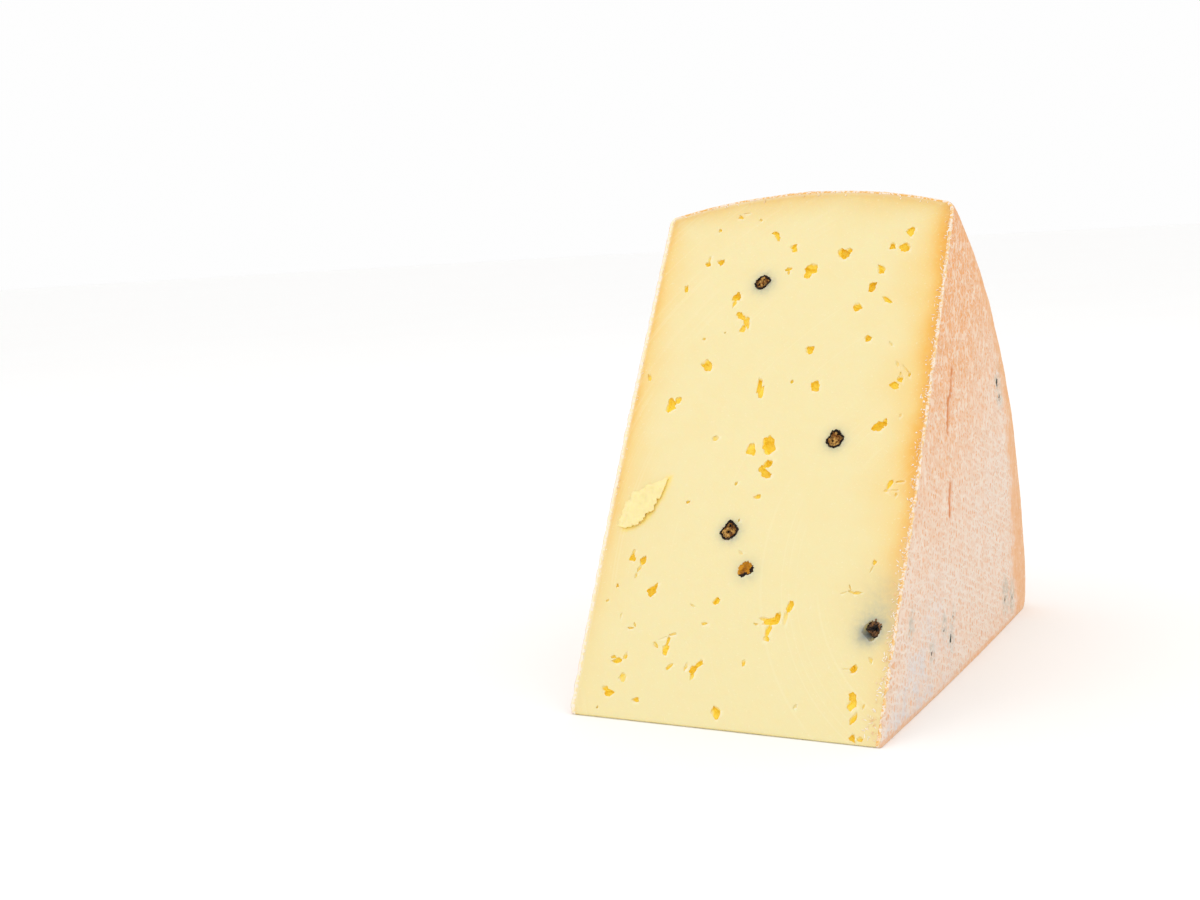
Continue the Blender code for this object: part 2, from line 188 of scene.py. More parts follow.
def positions(mesh: Mesh) -> Array:
    """Every vertex of a mesh as an N by 3 array."""
    found = np.empty(len(mesh.vertices) * 3, np.float32)
    mesh.vertices.foreach_get("co", found)
    return found.reshape(-1, 3).astype(float)


def store(mesh: Mesh, name: str, values: Array) -> None:
    """Store one number or one vector for each vertex as a named attribute."""
    kind, key = ('FLOAT', "value") if values.ndim == 1 else ('FLOAT_VECTOR', "vector")
    layer = mesh.attributes.new(name, kind, 'POINT')
    layer.data.foreach_set(key, values.astype(np.float32).ravel())


def shade(mesh: Mesh, sharp: float = 180.0) -> None:
    """Shade a mesh smoothly, apart from edges that bend by more than an angle in degrees."""
    mesh.polygons.foreach_set("use_smooth", [True] * len(mesh.polygons))
    if sharp < 180:
        mesh.set_sharp_from_angle(angle=math.radians(sharp))


def zip_rows(first: Sequence[int], second: Sequence[int]) -> list[tuple[int, int, int]]:
    """Fill the strip between two rows of vertices that may differ in number.

    Args:
        first: vertex indices of one row.
        second: vertex indices of the next row, running the same way.

    Returns:
        Triangles between the rows.
    """
    faces = []
    i = j = 0
    last_i, last_j = len(first) - 1, len(second) - 1
    while i < last_i or j < last_j:
        if j == last_j or (i < last_i and (i + 1) * last_j <= (j + 1) * last_i):
            faces.append((first[i], first[i + 1], second[j]))
            i += 1
        else:
            faces.append((first[i], second[j + 1], second[j]))
            j += 1
    return faces


def made_plain(thing: Thing) -> None:
    """Replace an object's mesh by what its modifiers make of it, and drop the modifiers."""
    bpy.context.view_layer.update()
    evaluated = thing.evaluated_get(bpy.context.evaluated_depsgraph_get())
    plain = bpy.data.meshes.new_from_object(evaluated)
    thing.modifiers.clear()
    spare = thing.data
    thing.data = plain
    bpy.data.meshes.remove(spare)


def hand_over(piece: Thing) -> None:
    """Fix a finished piece to the wedge's body, as a part of the look of its one solid."""
    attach(piece, "root")
    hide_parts(NODE)
    log.info("%s: %d triangles", piece.name, sum(len(face.vertices) - 2 for face in piece.data.polygons))


class Hand(Enum):
    """Which part of the wheel's skin a rind shell covers."""

    RIGHT = "right_side"
    RIM = "rim"
    LEFT = "left_side"


@dataclass(frozen=True)
class Wheel:
    """Form of the wheel that the wedge is cut from, and of the two cuts.

    The tip line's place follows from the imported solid's lowest Y, low_y.
    """

    half: float = 40 * MM
    radius: float = 141 * MM
    bulge: float = 6 * MM
    crown: float = 0.7 * MM
    shoulders: tuple[float, float] = (4 * MM, 2 * MM)
    tip_corners: tuple[float, float] = (1.5 * MM, 2.5 * MM)
    angle: float = math.radians(59)
    tip_wear: float = 0.5 * MM
    rest_wear: float = 4.5 * MM
    top_wear: float = 1.2 * MM
    low_y: float = field(default_factory=lambda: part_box(NODE)[0].y)

    @property
    def tip_run(self) -> float:
        """Distance from the sharp tip line to where the cuts' flat faces begin."""
        return self.tip_wear / math.tan(self.angle / 2)

    @property
    def tip_y(self) -> float:
        """Place of the sharp tip line along Y."""
        return self.low_y - (self.tip_run - self.tip_wear)

    @property
    def out_of_cut(self) -> Array:
        """Direction that the leaning cut faces."""
        return np.array((0.0, -math.sin(self.angle), math.cos(self.angle)))

    def rim_circle(self) -> tuple[float, float]:
        """Radius of the rim's bulge across the wheel, and its centre's distance from the axis."""
        radius = (self.half ** 2 + self.bulge ** 2) / (2 * self.bulge)
        return radius, self.radius + self.bulge - radius

    def shoulder_centre(self, shoulder: float) -> tuple[float, float, float]:
        """Where a shoulder's arc is centred, and where it meets the rim.

        Args:
            shoulder: the shoulder's radius.

        Returns:
            The centre's distance from the axis, its place along the axis, and the arc's end turn.
        """
        bulge_radius, bulge_centre = self.rim_circle()
        along = self.half - shoulder
        reach = bulge_centre + math.sqrt((bulge_radius - shoulder) ** 2 - along ** 2)
        return reach, along, math.atan2(reach - bulge_centre, along)

    def rim_reach(self, along: Array, inset: float = 0.0) -> Array:
        """Distance from the axis to the rim, shoulders included.

        Args:
            along: places along the wheel's axis.
            inset: how far under the skin.

        Returns:
            One distance for each place.
        """
        bulge_radius, bulge_centre = self.rim_circle()
        reach = bulge_centre + np.sqrt(np.maximum((bulge_radius - inset) ** 2 - along ** 2, 0))
        for hand, shoulder in zip((1, -1), self.shoulders):
            centre, start, end = self.shoulder_centre(shoulder)
            round_by = shoulder - inset
            past = along * hand - start
            arc = centre + np.sqrt(np.maximum(round_by ** 2 - past ** 2, 0))
            reach = np.where(past > round_by * math.cos(end), arc, reach)
        return reach

    def side_reach(self, hand: int, distance: Array, inset: float = 0.0) -> Array:
        """How far a flat side stands from the wheel's middle, its worn tip corner included.

        Args:
            hand: 1 for the right side, -1 for the left.
            distance: distances from the axis.
            inset: how far under the skin.

        Returns:
            One distance, always positive, for each place.
        """
        corner = self.tip_corners[0 if hand > 0 else 1]
        centre = self.shoulder_centre(self.shoulders[0 if hand > 0 else 1])[0]
        crowned = self.half + self.crown * (1 - (2 * distance / centre - 1) ** 2)
        short = np.clip(corner - distance, 0, corner)
        return crowned - (corner - np.sqrt(corner ** 2 - short ** 2)) - inset

    def rub(self, along: Array, distance: Array, turn: Array) -> tuple[Array, Array]:
        """Rub the resting edge and the top edge of the rim round.

        Args:
            along: places along the wheel's axis.
            distance: distances from the axis.
            turn: angles up from the resting cut.

        Returns:
            The new distances and angles.
        """
        rim = self.rim_reach(np.clip(along, -self.half, self.half))
        for wear, from_top in ((self.rest_wear, False), (self.top_wear, True)):
            lifted = self.angle - turn if from_top else turn
            inward = wear - (rim - distance)
            aside = wear - distance * np.sin(lifted)
            corner = (inward > 0) & (aside > 0)
            size = np.maximum(inward, aside)
            length = np.maximum(np.hypot(inward, aside), 1e-9)
            new_distance = rim - wear + inward / length * size
            new_aside = wear - aside / length * size
            new_turn = np.arcsin(np.clip(new_aside / new_distance, -1, 1))
            distance = np.where(corner, new_distance, distance)
            turn = np.where(corner, self.angle - new_turn if from_top else new_turn, turn)
        return distance, turn

    def place(self, along: Array, distance: Array, turn: Array) -> Array:
        """Turn wheel coordinates into positions."""
        return np.stack([along, self.tip_y + distance * np.cos(turn), distance * np.sin(turn)], -1)

    def waves(self, across: Array, up: Array) -> Array:
        """How far the leaning cut stands proud of flat, left by a knife that wandered a little."""
        return 0.16 * MM * ripple(across, up, 52 * MM, 0.7) + 0.03 * MM * ripple(across, up, 11 * MM, 2.1)

    def settle(self, across: Array, distance: Array, turn: Array) -> Array:
        """Positions of wheel coordinates, with the worn edges and the wandering cut included."""
        distance, turn = self.rub(across, distance, turn)
        lift = self.waves(across, distance) * smooth(turn, 0.5 * self.angle, self.angle)
        return self.place(across, distance, turn) + np.outer(lift, self.out_of_cut)

    def tip_row(self, across: float, count: int) -> Array:
        """The worn tip's arc, from the resting cut to the leaning one.

        Args:
            across: place along the wheel's axis.
            count: number of points.

        Returns:
            The arc's positions.
        """
        turns = np.linspace(1.5 * math.pi, math.pi / 2 + self.angle, count)
        out = self.tip_y + self.tip_run + self.tip_wear * np.cos(turns)
        high = self.tip_wear * (1 + np.sin(turns))
        spots = np.stack([np.full(count, across), out, high], -1)
        wave = float(self.waves(np.array(across), np.array(self.tip_run)))
        return spots + np.outer(wave * smooth(np.linspace(0, 1, count), 0.5, 1), self.out_of_cut)

    def cut_matrix(self, across: float, up: float, sink: float = 0.0) -> Matrix:
        """Frame of a spot on the leaning cut: X across, Y up the face, Z out of it."""
        up_axis = Vector((0, math.cos(self.angle), math.sin(self.angle)))
        out_axis = Vector((0, -math.sin(self.angle), math.cos(self.angle)))
        proud = float(self.waves(np.array(across), np.array(up)))
        spot = Vector((across, self.tip_y, 0)) + up_axis * up + out_axis * (proud - sink)
        return Matrix.Translation(spot) @ Matrix((Vector((1, 0, 0)), up_axis, out_axis)).transposed().to_4x4()

    def rest_matrix(self, across: float, up: float, sink: float = 0.0) -> Matrix:
        """Frame of a spot on the resting cut: X across, Z down out of it."""
        return Matrix.Translation((across, self.tip_y + up, sink)) @ Matrix.Rotation(math.pi, 4, 'X')


@dataclass(frozen=True)
class Eye:
    """One opening of the paste, in millimetres on a cut: place, width, height, turn, depth share."""

    across: float
    up: float
    wide: float
    tall: float
    turn: float = 0.0
    deep: float = 1.0


LEANING_EYES: tuple[Eye, ...] = tuple(Eye(*row) for row in (
    (-7.3, 133.5, 1.3, 3.1, 38), (-8.1, 134.4, 1.3, 1.1), (-2.0, 129.9, 1.9, 1.6, 20),
    (-1.6, 128.9, 1.2, 1.7, 15), (-2.4, 123.3, 1.5, 1.2), (-2.2, 122.4, 0.8, 1.3),
    (-15.4, 115.4, 2.2, 2.6, -5), (-15.9, 113.6, 1.1, 2.2, -20, 0.6), (-13.9, 110.2, 1.5, 1.7),
    (-13.0, 109.2, 2.4, 1.4, -30), (-11.6, 108.4, 1.7, 2.2, -10), (-11.1, 107.2, 1.2, 1.9),
    (-12.4, 105.9, 1.8, 2.6, -25, 0.5), (-31.1, 118.4, 1.2, 2.3, 15), (-26.0, 125.8, 1.4, 1.7),
    (-25.8, 127.2, 0.7, 1.8), (-22.3, 126.2, 1.7, 1.7), (-24.3, 136.0, 0.9, 0.9),
    (-19.0, 139.9, 1.3, 1.0, -35), (-17.1, 141.0, 1.8, 0.5, 0, 0.5), (-12.8, 138.6, 0.8, 0.8),
    (-23.0, 103.3, 0.8, 0.8), (-17.2, 105.0, 0.6, 0.6, 0, 0.5), (12.3, 127.1, 3.1, 3.0, -10),
    (13.5, 128.1, 1.6, 1.5), (3.5, 122.8, 2.8, 2.9), (3.4, 121.2, 1.8, 2.6), (4.8, 123.7, 1.0, 1.4, -20),
    (25.1, 128.8, 1.6, 2.1, 25), (28.4, 128.0, 2.5, 2.1, 10), (29.1, 132.9, 1.8, 2.2, 0, 0.45),
    (22.9, 122.3, 1.5, 2.6, 35), (21.4, 117.5, 2.3, 2.6), (25.9, 113.2, 1.2, 3.0, 62),
    (18.1, 111.4, 2.0, 1.9), (22.4, 102.6, 1.9, 1.7), (28.5, 101.0, 0.6, 1.9, 40, 0.5),
    (7.5, 99.3, 2.1, 2.1, 0, 0.8), (-20.5, 95.3, 3.0, 2.9, 0, 0.8), (-36.6, 92.0, 0.9, 2.3, 20, 0.7),
    (-28.9, 84.0, 2.1, 2.9), (-27.0, 85.2, 1.6, 1.9, 0, 0.5), (-28.2, 83.2, 1.9, 1.1),
    (-4.8, 89.8, 1.5, 3.9), (-4.0, 88.0, 1.5, 3.7, -10, 0.6), (-14.2, 74.9, 1.3, 1.6, 0, 0.3),
    (-3.6, 71.7, 2.2, 2.7, 0, 0.8), (-6.4, 62.6, 0.8, 0.9), (-18.5, 57.2, 1.1, 0.9),
    (0.4, 73.2, 3.1, 3.6), (1.3, 68.2, 2.1, 2.3), (0.0, 66.8, 1.8, 1.9), (1.3, 65.3, 2.6, 2.2),
    (0.2, 59.2, 1.7, 1.2, 0, 0.6), (3.8, 90.7, 0.8, 1.0), (10.3, 89.2, 2.3, 2.4),
    (31.0, 89.8, 2.4, 1.6, -25), (32.3, 91.2, 1.4, 1.5, 30, 0.7), (32.1, 92.6, 0.7, 1.3),
    (31.0, 95.3, 0.7, 1.9, 25), (33.4, 93.9, 0.45, 3.4, 42, 0.8), (34.3, 92.4, 0.8, 0.8),
    (28.5, 78.8, 3.2, 2.5, 20), (29.9, 79.9, 1.3, 1.9, -10), (33.6, 81.6, 0.7, 1.2, 0, 0.4),
    (33.3, 63.8, 1.1, 2.5, -25), (36.0, 64.4, 1.9, 0.6, 12), (32.8, 61.9, 1.1, 0.7),
    (34.8, 62.1, 1.7, 0.5), (35.2, 61.0, 0.6, 1.1), (-31.0, 41.6, 1.6, 2.1), (-31.0, 43.2, 0.8, 1.6),
    (-28.0, 41.0, 1.7, 2.5, -5), (-28.6, 38.8, 0.8, 1.9, -35, 0.7), (-29.2, 37.0, 0.8, 1.3, 0, 0.7),
    (-23.8, 33.2, 2.3, 2.6), (-23.2, 34.5, 1.0, 1.7, -15), (-33.8, 34.0, 0.9, 1.1),
    (-35.8, 29.9, 1.0, 0.7, 30, 0.7), (-31.0, 26.3, 0.6, 1.7, 0, 0.4), (-27.7, 23.3, 1.7, 0.7),
    (-26.8, 24.2, 0.6, 1.2, 25), (-17.2, 18.6, 1.7, 2.4, 10), (-16.9, 20.8, 0.9, 2.6, -5),
    (-15.9, 22.5, 1.9, 0.6, 20), (-19.9, 19.4, 1.9, 0.9, -35), (-18.3, 21.4, 2.4, 0.3, 25, 0.7),
    (-29.7, 14.8, 2.5, 1.3, 20), (-27.6, 16.0, 0.9, 1.8, -20), (-30.8, 15.6, 1.1, 0.9),
    (-15.3, 14.4, 2.1, 0.9, 45), (-11.0, 14.6, 0.9, 1.8, 0, 0.4), (-9.0, 14.1, 2.0, 1.9),
    (-7.6, 15.7, 1.3, 2.9, -35), (-9.0, 12.4, 1.0, 1.7), (-12.0, 30.2, 1.6, 0.6, -30, 0.6),
    (-5.9, 31.7, 1.6, 1.6), (-8.0, 25.8, 1.2, 0.8), (-27.3, 10.6, 1.8, 2.0, 30, 0.25),
    (-31.4, 7.3, 1.9, 1.2, -40), (-30.3, 6.5, 2.3, 1.6), (-22.6, 5.5, 2.0, 1.1, 10),
    (-1.0, 4.4, 2.1, 2.7, 20, 0.6), (-32.6, 2.6, 0.7, 0.7), (-1.8, 44.4, 1.7, 0.7, -35, 0.7),
    (-3.8, 52.8, 0.6, 0.8), (32.4, 43.7, 1.0, 1.3), (32.0, 42.1, 0.4, 1.7, -20),
    (29.3, 36.1, 2.1, 0.7, 8), (28.0, 36.1, 1.7, 0.6, -20), (27.4, 37.2, 0.5, 1.3, 25),
    (26.0, 35.8, 1.7, 0.4, 20), (13.1, 31.7, 1.5, 2.3, -15), (12.6, 28.9, 0.9, 3.4, 0, 0.4),
    (10.5, 28.7, 1.8, 2.2), (9.2, 27.6, 3.1, 1.8, 20), (7.2, 28.0, 2.2, 0.9, -10),
    (8.8, 25.6, 1.2, 2.5, -10), (8.4, 23.3, 1.7, 1.1, -40), (5.2, 26.7, 1.5, 0.6, -5),
    (3.8, 16.9, 1.1, 1.3), (31.0, 17.6, 1.8, 1.9), (29.4, 17.6, 1.7, 0.4, 0, 0.7),
    (35.0, 20.2, 0.8, 1.6, 25, 0.7), (32.0, 11.2, 1.9, 1.8), (31.9, 9.3, 2.2, 2.0, 0, 0.5),
    (32.6, 5.9, 1.2, 2.9, -25), (34.8, 9.3, 0.6, 1.3, -25), (33.2, 1.8, 1.4, 1.9, 20),
    (35.2, 1.6, 1.4, 1.1, 0, 0.7), (18.5, 7.6, 1.3, 0.9, 35, 0.3),
))


class Filling(Enum):
    """What the knife left of a peppercorn."""

    SLICED = "sliced"
    HUSK = "husk"
    WHOLE = "whole"


class Coat(IntEnum):
    """Which of a peppercorn's finishes a face has, by its place among them."""

    SKIN = 0
    KERNEL = 1
    HUSK = 2
    CRUMPLED = 3


@dataclass(frozen=True)
class Spot:
    """A mould spot of the rind, in millimetres: place, dark core's width, halo's width."""

    first: float
    second: float
    core: float
    halo: float


RIGHT_SPOTS: tuple[Spot, ...] = (
    Spot(109.5, 70.5, 2.4, 4.5), Spot(111.3, 66.0, 2.2, 4.2), Spot(112.4, 8.0, 2.2, 5.5),
    Spot(120.5, 6.5, 2.0, 5.0), Spot(56.0, 11.0, 2.4, 4.2), Spot(58.4, 16.0, 1.4, 2.4),
    Spot(50.0, 15.0, 1.4, 3.6), Spot(39.6, 11.5, 1.1, 2.8), Spot(23.7, 22.0, 0.5, 3.4),
)
RIGHT_CREASES: tuple[tuple[tuple[float, float], ...], ...] = (
    ((63.0, 79.0), (60.8, 72.6), (58.5, 71.3), (57.4, 63.8)),
    ((58.7, 50.5), (57.9, 46.5), (57.7, 42.6)),
)
SPOT_SEED = 6
LEFT_SPOTS = 9
RIM_SPOTS = 7


class Nodes:
    """A node tree in the making, with the short calls that its patterns are written in."""

    tree: bpy.types.NodeTree

    def node(self, kind: str, settings: dict[str, Any] | None = None,
             links: dict[Any, Any] | None = None) -> bpy.types.Node:
        """Add a node to this tree."""
        return add_node(self.tree, kind, settings, links)

    def maths(self, operation: str, *values: Any) -> Socket:
        """One sum of up to three values."""
        return self.node("ShaderNodeMath", {"operation": operation}, dict(enumerate(values))).outputs[0]

    def times(self, first: Any, second: Any) -> Socket:
        """The product of two values."""
        return self.maths('MULTIPLY', first, second)

    def vectors(self, operation: str, *values: Any) -> Socket:
        """One sum of up to three vectors."""
        return self.node("ShaderNodeVectorMath", {"operation": operation}, dict(enumerate(values))).outputs[0]

    def scaled(self, vector: Any, factor: Any) -> Socket:
        """A vector made longer or shorter."""
        node = self.node("ShaderNodeVectorMath", {"operation": 'SCALE'}, {0: vector, "Scale": factor})
        return node.outputs[0]

    def ranged(self, value: Any, low: float, high: float, first: float = 0.0, last: float = 1.0) -> Socket:
        """A value's smooth step, from first at low to last at high."""
        return self.node("ShaderNodeMapRange", {"interpolation_type": 'SMOOTHSTEP'},
                         {0: value, 1: low, 2: high, 3: first, 4: last}).outputs[0]

    def clouds(self, links: dict[str, Any], dimensions: str = '3D') -> bpy.types.Node:
        """A noise texture, whose outputs are a share and a colour."""
        return self.node("ShaderNodeTexNoise", {"noise_dimensions": dimensions}, links)

    def seams(self, where: Socket, randomness: Any) -> Socket:
        """Distance to the nearest seam between uneven cells, about 1 across and laid flat."""
        return self.node("ShaderNodeTexVoronoi", {"feature": 'DISTANCE_TO_EDGE', "voronoi_dimensions": '2D'},
                         {"Vector": where, "Scale": 1.0, "Randomness": randomness}).outputs[0]

    def cloth(self, skin: Socket, turn: Any, cell: Any, wobble: Any,
              randomness: Any) -> tuple[Socket, Socket]:
        """The cheesecloth's mesh on the rind, whose threads lie along the seams between its holes.

        Args:
            skin: coordinates on the skin, in metres.
            turn: how far the cloth is turned on it.
            cell: size of one hole, as a vector.
            wobble: how far the threads stray, in holes.
            randomness: how uneven the holes are.

        Returns:
            The coordinates counted in holes, and the distance to the nearest thread.
        """
        laid = self.node("ShaderNodeVectorRotate", {"rotation_type": 'Z_AXIS'},
                         {"Vector": skin, "Angle": turn}).outputs[0]
        cells = self.vectors('DIVIDE', laid, cell)
        wander = self.clouds({"Vector": cells, "Scale": 0.45, "Detail": 2.0}).outputs["Color"]
        return cells, self.seams(self.vectors('ADD', cells, self.scaled(wander, wobble)), randomness)


class Shader(Nodes):
    """A material's node tree with its Principled shader, ready for a pattern."""

    def __init__(self, name: str) -> None:
        """Start a material of that name."""
        self.material = bpy.data.materials.new(name)
        self.material.use_nodes = True
        self.tree = self.material.node_tree
        self.skin = self.tree.nodes["Principled BSDF"]

    def constants(self, **values: Any) -> None:
        """Set the shader's own sockets, with underscores for the spaces of their names."""
        for name, value in values.items():
            self.skin.inputs[name.replace("_", " ")].default_value = value

    def attribute(self, name: str) -> Socket:
        """A named attribute of the surface as one number."""
        return self.node("ShaderNodeAttribute", {"attribute_name": name}).outputs["Fac"]

    def mixed(self, share: Any, first: Any, second: Any) -> Socket:
        """One colour turned into another by a share; each is a socket, a linear colour or sRGB hex."""
        first, second = (linear(value) if isinstance(value, str) else value for value in (first, second))
        return self.node("ShaderNodeMix", {"data_type": 'RGBA'}, {0: share, 6: first, 7: second}).outputs[2]

    def grain(self, size: float, detail: float = 3.0, rough: float = 0.55,
              where: Socket | None = None) -> Socket:
        """Noise whose patches have a real size in metres, at the object's own coordinates or others."""
        where = where or self.node("ShaderNodeTexCoord").outputs["Object"]
        links = {"Vector": where, "Scale": 1 / size, "Detail": detail, "Roughness": rough}
        return self.clouds(links).outputs["Fac"]

    def contour(self, share: Socket, low: float, high: float, weight: float = 1.0) -> Socket:
        """A line where a noise passes one half, full up to low away from it and gone at high."""
        away = self.maths('ABSOLUTE', self.maths('SUBTRACT', share, 0.5))
        return self.ranged(away, low, high, weight, 0.0)

    def bumped(self, height: Any, distance: float, strength: float = 1.0,
               under: Socket | None = None) -> Socket:
        """A bump of a real height in metres, over another one if given."""
        links = {"Height": height, "Distance": distance, "Strength": strength}
        if under is not None:
            links["Normal"] = under
        return self.node("ShaderNodeBump", None, links).outputs[0]

    def finish(self, colour: Any, rough: Any, normal: Socket | None) -> Material:
        """Link the pattern into the shader and hand the material over."""
        for name, value in (("Base Color", colour), ("Roughness", rough), ("Normal", normal)):
            if isinstance(value, Socket):
                self.tree.links.new(value, self.skin.inputs[name])
            elif value is not None:
                self.skin.inputs[name].default_value = value
        return self.material


@dataclass(frozen=True)
class PasteFinish:
    """Semi-hard cow's milk paste, knife cut: dense and waxy, deepening to orange under the rind."""

    name: str = "knife_cut_cheese_paste"
    heart: str = "#EFE0A9"
    mid: str = "#F1D186"
    outer: str = "#F0BA58"
    under_rind: str = "#EEAC44"
    # painted light in the openings: a deeper yellow by depth, a darker amber (painted shade) on walls that
    # face away from the light, and the colour of a faint emitted glow
    opening: str = "#F7D63C"
    shade: str = "#E4B710"
    glow: str = "#F0C000"
    # pale painted highlight on the rims of the openings that face the light
    painted_glint_and_pale_fleck: str = "#FFFBE6"
    tip: str = "#EDDFA8"
    stain: str = "#9BA297"
    # blue-grey of the crumpled peppercorn's pit: painted shade in that hollow, with a grey smear
    bruise: str = "#757C7D"
    curd: str = "#F2D992"
    fat: str = "#FFF8DE"
    score: str = "#FFF9DC"
    # strength of the painted glow in the openings
    painted_glow_strength: float = 0.105
    swing_centre: tuple[float, float, float] = (0.062, -0.052, 0.038)

    def build(self) -> Material:
        """Make the paste's material.

        Returns:
            A softly glossy, faintly translucent material with a fine curd mottle and knife marks, and painted
            glow, shade and highlights in its openings.
        """
        make = Shader(self.name)
        # the soft, oily look of butterfat: a little light goes in, and the gloss is broad
        make.constants(Subsurface_Weight=0.12, Subsurface_Radius=(0.004, 0.002, 0.0006),
                       Subsurface_Scale=0.6, IOR=1.45)
        near = make.attribute("near_rind")
        cloudy = make.maths('ADD', near, make.maths('MULTIPLY_ADD', make.grain(9 * MM), 0.16, -0.08))
        ramp = make.node("ShaderNodeValToRGB", None, {"Fac": cloudy})
        stops = ramp.color_ramp.elements
        for place, colour in ((0.0, self.heart), (1.0, self.under_rind)):
            stops[int(place)].position = place
            stops[int(place)].color = linear(colour)
        for place, colour in ((0.42, self.mid), (0.75, self.outer)):
            stops.new(place).color = linear(colour)
        colour = make.mixed(make.attribute("near_tip"), ramp.outputs["Color"], self.tip)
        # curd grains about 2 mm across, hardly seen, and fine pale fat specks
        curd = make.ranged(make.grain(2.2 * MM, 4.0, 0.6), 0.35, 0.75)
        colour = make.mixed(make.times(curd, 0.16), colour, self.curd)
        fleck = make.ranged(make.grain(0.55 * MM, 2.0), 0.62, 0.74)
        colour = make.mixed(make.times(fleck, 0.22), colour, self.fat)
        blotch = make.times(make.attribute("stain"),
                            make.ranged(make.grain(1.7 * MM, 4.0, 0.65), 0.2, 0.75, 0.45, 1.15))
        colour = make.mixed(blotch, colour, self.stain)
        # the openings are painted a clear yellow by their depth, and their walls that face away from the
        # light a darker amber, a painted shade; a faint emission, a painted glow, stands for light soaked
        # through the paste
        bruise = make.attribute("bruise")
        depth = make.times(make.attribute("depth"), make.maths('SUBTRACT', 1.0, bruise))
        painted_opening_light_and_shade = make.mixed(make.attribute("shade"), self.opening, self.shade)
        colour = make.mixed(make.times(depth, 0.95), colour, painted_opening_light_and_shade)
        # the crumpled peppercorn's pit darkened blue-grey: painted shade with a grey smear
        colour = make.mixed(bruise, colour, self.bruise)
        # the rims that face the light get the pale painted highlight
        colour = make.mixed(make.attribute("painted_glint_and_pale_fleck"), colour, self.painted_glint_and_pale_fleck)
        painted_glow_colour = make.mixed(depth, (0.0, 0.0, 0.0, 1.0), self.glow)
        make.tree.links.new(painted_glow_colour, make.skin.inputs["Emission Color"])
        make.constants(Emission_Strength=self.painted_glow_strength)
        # the knife's long shallow strokes, about 5 mm apart, and the finest tear of the curd
        where = make.node("ShaderNodeTexCoord").outputs["Object"]
        stroke_frame = make.node("ShaderNodeMapping", None,
                                 {"Vector": where, "Rotation": (math.radians(-59), 0, 0.35),
                                  "Scale": (1.0, 0.16, 1.0)}).outputs[0]
        strokes = make.grain(3.4 * MM, 4.0, 0.6, stroke_frame)
        bump = make.bumped(strokes, 0.07 * MM, 0.7)
        # the blade's thin arcs, swung round a point well to the right of the wedge
        swing = make.node("ShaderNodeVectorMath", {"operation": 'DISTANCE'},
                          {0: where, 1: self.swing_centre}).outputs["Value"]
        scores = make.clouds({"W": make.maths('DIVIDE', swing, 9 * MM), "Detail": 1.0}, '1D').outputs["Fac"]
        thin = make.contour(scores, 0.0, 0.016)
        seen = make.times(thin, make.ranged(make.grain(26 * MM, 1.0), 0.45, 0.62))
        colour = make.mixed(make.times(seen, 0.1), colour, self.score)
        bump = make.bumped(make.grain(0.8 * MM, 4.0, 0.6), 0.05 * MM, 0.9, bump)
        rough = make.ranged(make.grain(5 * MM, 3.0), 0.2, 0.8, 0.42, 0.56)
        return make.finish(colour, rough, bump)


@dataclass(frozen=True)
class RindNet:
    """Imprint of the cheesecloth in the rind: its mesh in metres and the raised threads' height."""

    cell_across: float = 1.95 * MM
    cell_along: float = 2.0 * MM
    turn: float = math.radians(20)
    height: float = 0.14 * MM
    wobble: float = 0.9
    randomness: float = 0.62


